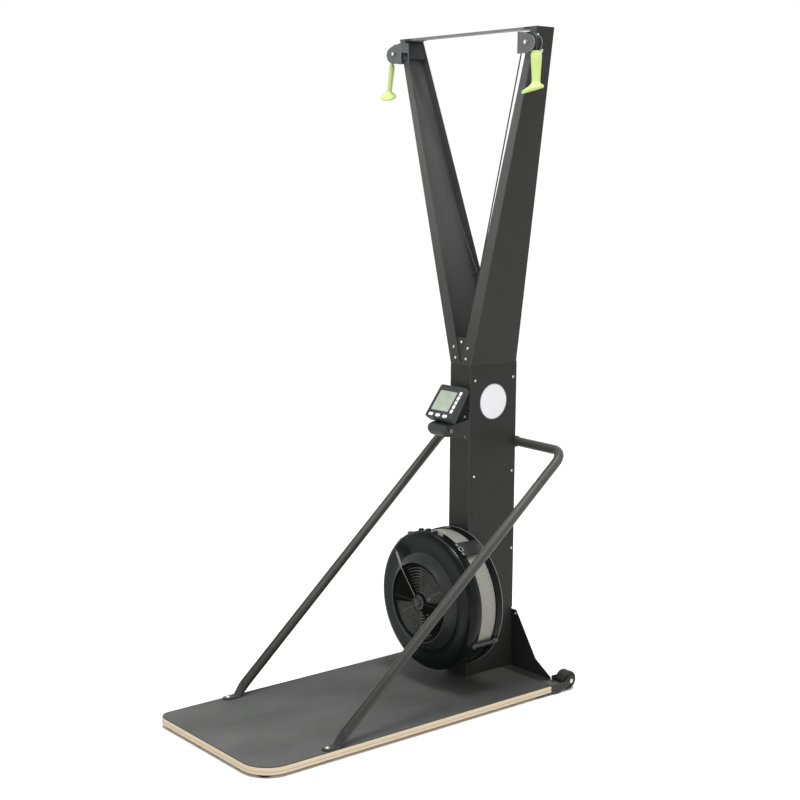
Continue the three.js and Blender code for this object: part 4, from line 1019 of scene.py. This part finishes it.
def ease(t):
    return t * t * (3 - 2 * t)


def squared(power):
    """The points of a unit circle, nearer to a square the lower the power."""
    ring = circle(1, 0, TUBE_POINTS)
    return [[copysign(abs(c) ** power, c) for c in (p.x, p.y)] for p in ring]


def brace_rings():
    """From the flat tab on the deck through a change of section to the round tube."""
    flat_power, flat_half, thick = 0.45, 17, 5.0
    tab_low = DECK + 0.3
    slope = (BRACE_CORNER - BRACE_FOOT).normalized()
    normal = (Vector(UPWARD) - slope * slope.z).normalized()
    across = normal.cross(slope)
    tab_end = Vector((BRACE_FOOT.x, BRACE_FOOT.y, tab_low + thick / 2))
    start = BRACE_FOOT + slope * 46
    rings = []
    stations = ((-17, 3), (-16, 6.5), (-14, 9.6), (-11, 13), (-7, 15.5), (-3, 16.8))
    for off, half in (*stations, (0, flat_half), (17, flat_half)):
        ring = []
        for a, b in squared(flat_power):
            point = (BRACE_FOOT.x - half * a, TAB_Y + off, tab_low + thick / 2 * (1 + b))
            ring.append(Vector(point))
        rings.append(ring)
    for i in range(13):
        t = i / 12
        share = ease(t)
        wide = flat_half + (TUBE - flat_half) * share + 3.2 * sin(pi * t)
        tall = thick / 2 + (TUBE - thick / 2) * share
        middle = tab_end.lerp(start, t)
        up_way = Vector(UPWARD).lerp(normal, share).normalized()
        side_way = Vector((-1, 0, 0)).lerp(across, share).normalized()
        ring = []
        for a, b in squared(flat_power + 0.55 * share):
            point = middle + side_way * (wide * a) + up_way * (tall * b)
            point.z = max(point.z, tab_low)
            ring.append(point)
        rings.append(ring)
    end = BRACE_FOOT.lerp(BRACE_CORNER, JOINT_SHARE) - slope * 0.15
    round_ring = rings[-1]
    for t, shrink in ((0.25, 1), (0.5, 1), (0.75, 1), (0.985, 1), (1, 0.95)):
        middle = start.lerp(end, t)
        rings.append([middle + (p - start) * shrink for p in round_ring])
    return rings


def make_braces():
    rings = brace_rings()
    for side, sign in SIDES:
        flip = Matrix.Diagonal((sign, 1, 1, 1))
        shape = Shape().loft([[at(*(flip @ p)) for p in ring] for ring in rings])
        shape.stand_in(f"side_brace_{side}", "_tube", "black_steel", TUBING, smooth=50)
    slope = (BRACE_CORNER - BRACE_FOOT).normalized()
    joint = BRACE_FOOT.lerp(BRACE_CORNER, JOINT_SHARE)
    path = [joint + slope * 0.15, joint + slope * 30]
    path += bend(BRACE_FOOT, BRACE_CORNER, BRACE_FLAT, 20)
    path += [BRACE_FLAT.lerp(BRACE_CORNER, 0.3), BRACE_FLAT]
    path += [Vector((-p.x, p.y, p.z)) for p in reversed(path)]
    shape = Shape().loft(tube_rings([at(*p) for p in path], TUBE, TUBE_POINTS))
    shape.stand_in("brace_crossbar", "_tube", "black_steel", TUBING, smooth=50)


make_braces()


# Console: drawn with its face upright in x and y, its depth along z, and turned into place

CONSOLE_TILT = 53.4
CONSOLE_PLACE = (
    Matrix.Translation(at(0, 927, 900.6)) @ Matrix.Rotation(radians(CONSOLE_TILT), 4, "X") @ MM
)
FACE = 39.0
FACE_FOOT = 20.5
FACE_WIDTH = 130
FACE_HEIGHT = 126.0
SCREEN = (-9.0, FACE_FOOT + 66.0, 84.0, 75.0)


def panel(place, grow, corner, depth, steps=6):
    """A place of (x, y, width, height) as a rounded ring, depth above the face."""
    x, y, width, height = place
    return rounded(width + grow, height + grow, corner, FACE + depth, steps, x, y)


def key_places():
    for i in range(3):
        place = ((i - 1) * 35 - 3, FACE_FOOT + 11, 21, 11)
        yield f"console_button_{i + 1}", place, 5.4
    for i in range(5):
        yield f"console_key_{i + 1}", (51, FACE_FOOT + 32 + 17 * i, 11, 14), 3


def make_console_head():
    middle = FACE_FOOT + FACE_HEIGHT / 2

    def outline(inset, depth, slant=0.0):
        face = (0, middle, FACE_WIDTH, FACE_HEIGHT)
        ring = panel(face, -2 * inset, 9 - min(inset, 5), depth, 8)
        for p in ring:
            p.z += slant * (p.y - FACE_FOOT)
        return ring

    back = ((9, -32), (3.5, -31.2), (1.2, -29.4), (0, -26.5))
    front = ((0, -3.4), (0.7, -1.2), (1.9, -0.2), (3.0, 0), (4.6, 0), (5.2, -0.7), (7.0, -0.7))
    rings = [outline(inset, depth, 12 / FACE_HEIGHT) for inset, depth in back]
    rings += [outline(inset, depth) for inset, depth in front]
    head = Shape().loft(rings, CONSOLE_PLACE)
    head = head.stand_in("console_body", "console_head", "console_plastic", CONSOLE, smooth=28)
    pockets = Shape()
    window = ((0.4, 4, -2.2), (0.4, 4, -1.4), (4.4, 6, 1))
    pockets.loft([panel(SCREEN, *row) for row in window], CONSOLE_PLACE)
    for _, place, corner in key_places():
        pockets.loft([panel(place, 0.8, corner, depth) for depth in (-4, 4)], CONSOLE_PLACE)
    cutter = pockets.piece("pockets", None, "console_plastic", CONSOLE)
    cut = head.modifiers.new("pockets", "BOOLEAN")
    cut.operation = "DIFFERENCE"
    cut.solver = "EXACT"
    cut.object = cutter
    settle(head)
    bpy.data.objects.remove(cutter)
    shade(head.data, 28)


def make_digits():
    """A clock and two counters of plain zeros."""
    flat, upright, dot = (3.4, 0.8), (0.8, 3.2), (0.9, 0.9)
    strokes = ((0, 4), (2.2, 2), (2.2, -2), (0, -4), (-2.2, -2), (-2.2, 2))
    marks = {
        "0": [(x, y, *(upright if x else flat)) for x, y in strokes],
        ":": [(0, y, *dot) for y in (-1.6, 1.6)],
    }
    digits = Shape()

    def number(text, left, level, scale):
        for i, mark in enumerate(text):
            x = left + i * 6.6 * scale
            for dx, dy, w, h in marks[mark]:
                place = (x + dx * scale, level + dy * scale, w * scale, h * scale)
                corner = min(place[2:]) * 0.3
                digits.loft([panel(place, 0, corner, d, 2) for d in (-1.2, -0.94)], CONSOLE_PLACE)

    middle, level = SCREEN[:2]
    number("0:00", middle - 6, level + 16, 1.25)
    number("0", middle + 22, level - 8, 0.9)
    number("00", middle - 30, level - 8, 0.9)
    digits.piece("console_display_digits", "console", "screen", INK, smooth=30)


def make_console_parts():
    rows = ((0, 3.8, -2.0), (0, 3.8, -1.2), (-1.2, 3.2, -0.9), (-6, 2, -0.9), (-6.4, 2, -1.0))
    glass = Shape().loft([panel(SCREEN, *row) for row in rows], CONSOLE_PLACE)
    glass.stand_in("console_screen", "console_display", "screen", DISPLAY, smooth=30)
    make_digits()
    steps = ((0, -1.9), (0, 0.6), (0.25, 1.05), (0.8, 1.35), (1.8, 1.52), (3.4, 1.6))
    for name, place, corner in key_places():
        rings = []
        for inset, depth in steps:
            rings.append(panel(place, -2 * inset, max(corner - inset, 0.6) - 0.1, depth, 8))
        cap = Shape().loft(rings, CONSOLE_PLACE)
        cap.stand_in(name, "_cap", "white_rubber", WHITE, smooth=45)
    half = [(11, -44.9), (15, -44.6), (18.5, -43.2), (20.8, -41.0), (22.2, -38.0)]
    half += [(22.9, -34.5), (23, -31), (23, -30.4), (22.3, -29.8), (22.3, -29.0), (23, -28.4)]
    across = Matrix.Rotation(pi / 2, 4, "Y")
    barrel = Shape().turned(mirrored(half), 64, CONSOLE_PLACE @ across)
    neck = [
        rounded(58 - 2 * inset, 18.4 - 2 * inset, 4, level, 5)
        for level, inset in ((0, 0), (FACE_FOOT + 8, 0), (FACE_FOOT + 10, 1.5))
    ]
    stand = Matrix(((1, 0, 0, 0), (0, 0, 1, 0), (0, -1, 0, 1.8), (0, 0, 0, 1)))
    barrel.loft(neck, CONSOLE_PLACE @ stand)
    barrel.piece("console_barrel", "console", "console_plastic", CONSOLE, smooth=35)


make_console_head()
make_console_parts()
dark_steel("console_bracket", 0.8)
refined("console_pivot_pin", "bright_steel", 0.8, GREY, GREY_WORN)


# Screws, bolts, clamps and the round sticker


def make_fasteners():
    zinc = Shape()
    zinc.screw(up(0, 1013.3, 1151), FRONT, 3.6, 2.4)
    for x, z in ((35, 1133), (-35, 1133), (26, 1097), (-26, 1097)):
        zinc.screw(up(x, COLUMN_FRONT, z), FRONT, 3.6, 2.4)
    # An arm leans out from its seam to its tip, heights from the top of the deck
    seam, tip_x, tip_z = 1077, 333, 2157
    lean = (tip_x - COLUMN_HALF) / (tip_z - seam)
    for sign in (1, -1):
        out = (sign, 0, 0)
        for y, z in ((1033, 1024), (1206, 1024), (1033, 697), (1207, 698), (1212, 423)):
            zinc.screw(up(sign * COLUMN_HALF, y, z), out, 3.4, 2.2)
        for y, z in ((1021, 2130), (1051, 2085)):
            x = COLUMN_HALF + (z - seam) * lean
            zinc.screw(up(sign * x, y, z), (sign, 0, -lean), 4.4, 2.8)
        for z in (902, 837):
            zinc.screw(up(sign * 30, 1006.7, z), FRONT, 3.6, 2.6)
        zinc.screw(at(sign * BRACE_FOOT.x, TAB_Y, DECK + 5.3), UPWARD, 6.2, 3.6)
        zinc.screw(at(sign * PULLEY[0], 969.9, PULLEY[2]), FRONT, 4.6, 2.6)
        zinc.screw(up(sign * 68, 1220.6, 190), FRONT, 4.2, 3.0)
        zinc.screw(at(sign * 300.3, *WHEEL[1:]), out, 5.6, 2.6)
        for z in (96, 190):
            zinc.bolt(up(sign * 38, 1223.6, z), REAR, 5.0, 3.6)
        for x in (110, 200):
            zinc.bolt(at(sign * x, 1223.6, 22), REAR, 4.6, 3.4)
        for z in (260, 520, 780, 1040):
            zinc.screw(up(sign * 43, COLUMN_REAR, z), REAR, 3.2, 2.0)
        for z in (803.4, 857.8):
            zinc.screw(at(sign * 31, 1225.8, z), REAR, 3.2, 2.0)
    zinc.piece("zinc_fasteners", "frame", "bright_steel", BRIGHT, smooth=30)


def make_saddles():
    """Two clamps that hold the crossbar tube to the column's rear."""
    saddles = Shape()
    turns = [radians(-90 + 7.5 * i) for i in range(25)]
    for x in (-31, 31):
        rings = []
        for side, inset in ((-12, 0.8), (-11.2, 0), (11.2, 0), (12, 0.8)):
            r = 18.8 - inset
            ring = [(CROSS_Y + r * cos(t), r * sin(t)) for t in turns]
            ring += [(1226 - inset, r), (1226 - inset, 34 - inset), (1222.4, 34 - inset)]
            ring += [(y, -z) for y, z in reversed(ring[-3:])]
            rings.append([at(x + side, y, CROSS_Z + z) for y, z in ring])
        saddles.loft(rings)
    saddles.piece("brace_saddles", "frame", "dark_steel", DARK, smooth=40)


def make_sticker():
    shape = Shape()
    place = facing(up(COLUMN_HALF, 1116, 947), (1, 0, 0))
    shape.turned([(60, 0), (60, 0.35), (59.6, 0.5), (56.6, 0.5)], 96, place, 1)
    shape.turned([(56.6, 0.2), (56.6, 0.55), (56.2, 0.6), (20, 0.62)], 96, place)
    shape.piece("column_sticker", "frame", "white_rubber", VINYL, VINYL_RIM, smooth=30)


make_fasteners()
make_saddles()
make_sticker()


# The return cords keep their own form and take a better finish

for side, _ in SIDES:
    for place in frame["nodes"][f"return_cord_{side}"].material_slots:
        place.material = ELASTIC


# Floor and light


def make_stage():
    made = Finish("floor", Roughness=0.9, Specular_IOR_Level=0.1)
    made.colour(made.noise(1.5, 2), (0.3, (0.89, 0.89, 0.89)), (0.7, (0.91, 0.91, 0.91)))
    mesh = bpy.data.meshes.new("floor")
    reach = 60
    corners = [(x * reach, y * reach, 0) for x, y in ((-1, -1), (1, -1), (1, 1), (-1, 1))]
    mesh.from_pydata(corners, [], [(0, 1, 2, 3)])
    mesh.materials.append(made.material)
    floor = linked("floor", mesh)
    make_sky()
    lamp("sun", "SUN", (0.15, -0.04, 1.0), 1.95, (0, 0, 0)).angle = radians(14)
    strip = lamp("strip", "AREA", (2.5, -0.25, 4.8), 160, (2.5, -0.25, 0))
    strip.shape = "RECTANGLE"
    strip.size, strip.size_y = 11.0, 0.3
    lamp("front", "AREA", (0.3, -1.5, 3.0), 14, (0.1, -0.6, 0)).size = 1.2
    lamp("rear", "AREA", (-2.2, 4.4, 2.6), 40, (0, 0.2, 0.9)).size = 2.4
    bpy.context.scene.view_settings.view_transform = "Standard"


def lamp(name, kind, place, power, target):
    data = bpy.data.lights.new(name, kind)
    data.energy = power
    light = linked(name, data)
    light.location = place
    aim = Vector(target) - light.location
    light.rotation_euler = aim.to_track_quat("-Z", "Y").to_euler()
    return data


def make_sky():
    """White up to above the horizon, dimmer overhead, like a studio's wall and ceiling."""
    world = bpy.data.worlds.new("studio")
    world.use_nodes = True
    tree = world.node_tree
    way = tree.nodes.new("ShaderNodeTexCoord")
    parts = tree.nodes.new("ShaderNodeSeparateXYZ")
    fade = tree.nodes.new("ShaderNodeMapRange")
    for socket, value in zip(range(1, 5), (0.3, 0.62, 1.0, 0.42)):
        fade.inputs[socket].default_value = value
    sky = tree.nodes["Background"]
    sky.inputs["Color"].default_value = (1, 1, 1, 1)
    tree.links.new(way.outputs["Generated"], parts.inputs[0])
    tree.links.new(parts.outputs["Z"], fade.inputs[0])
    tree.links.new(fade.outputs[0], sky.inputs["Strength"])
    bpy.context.scene.world = world


make_stage()
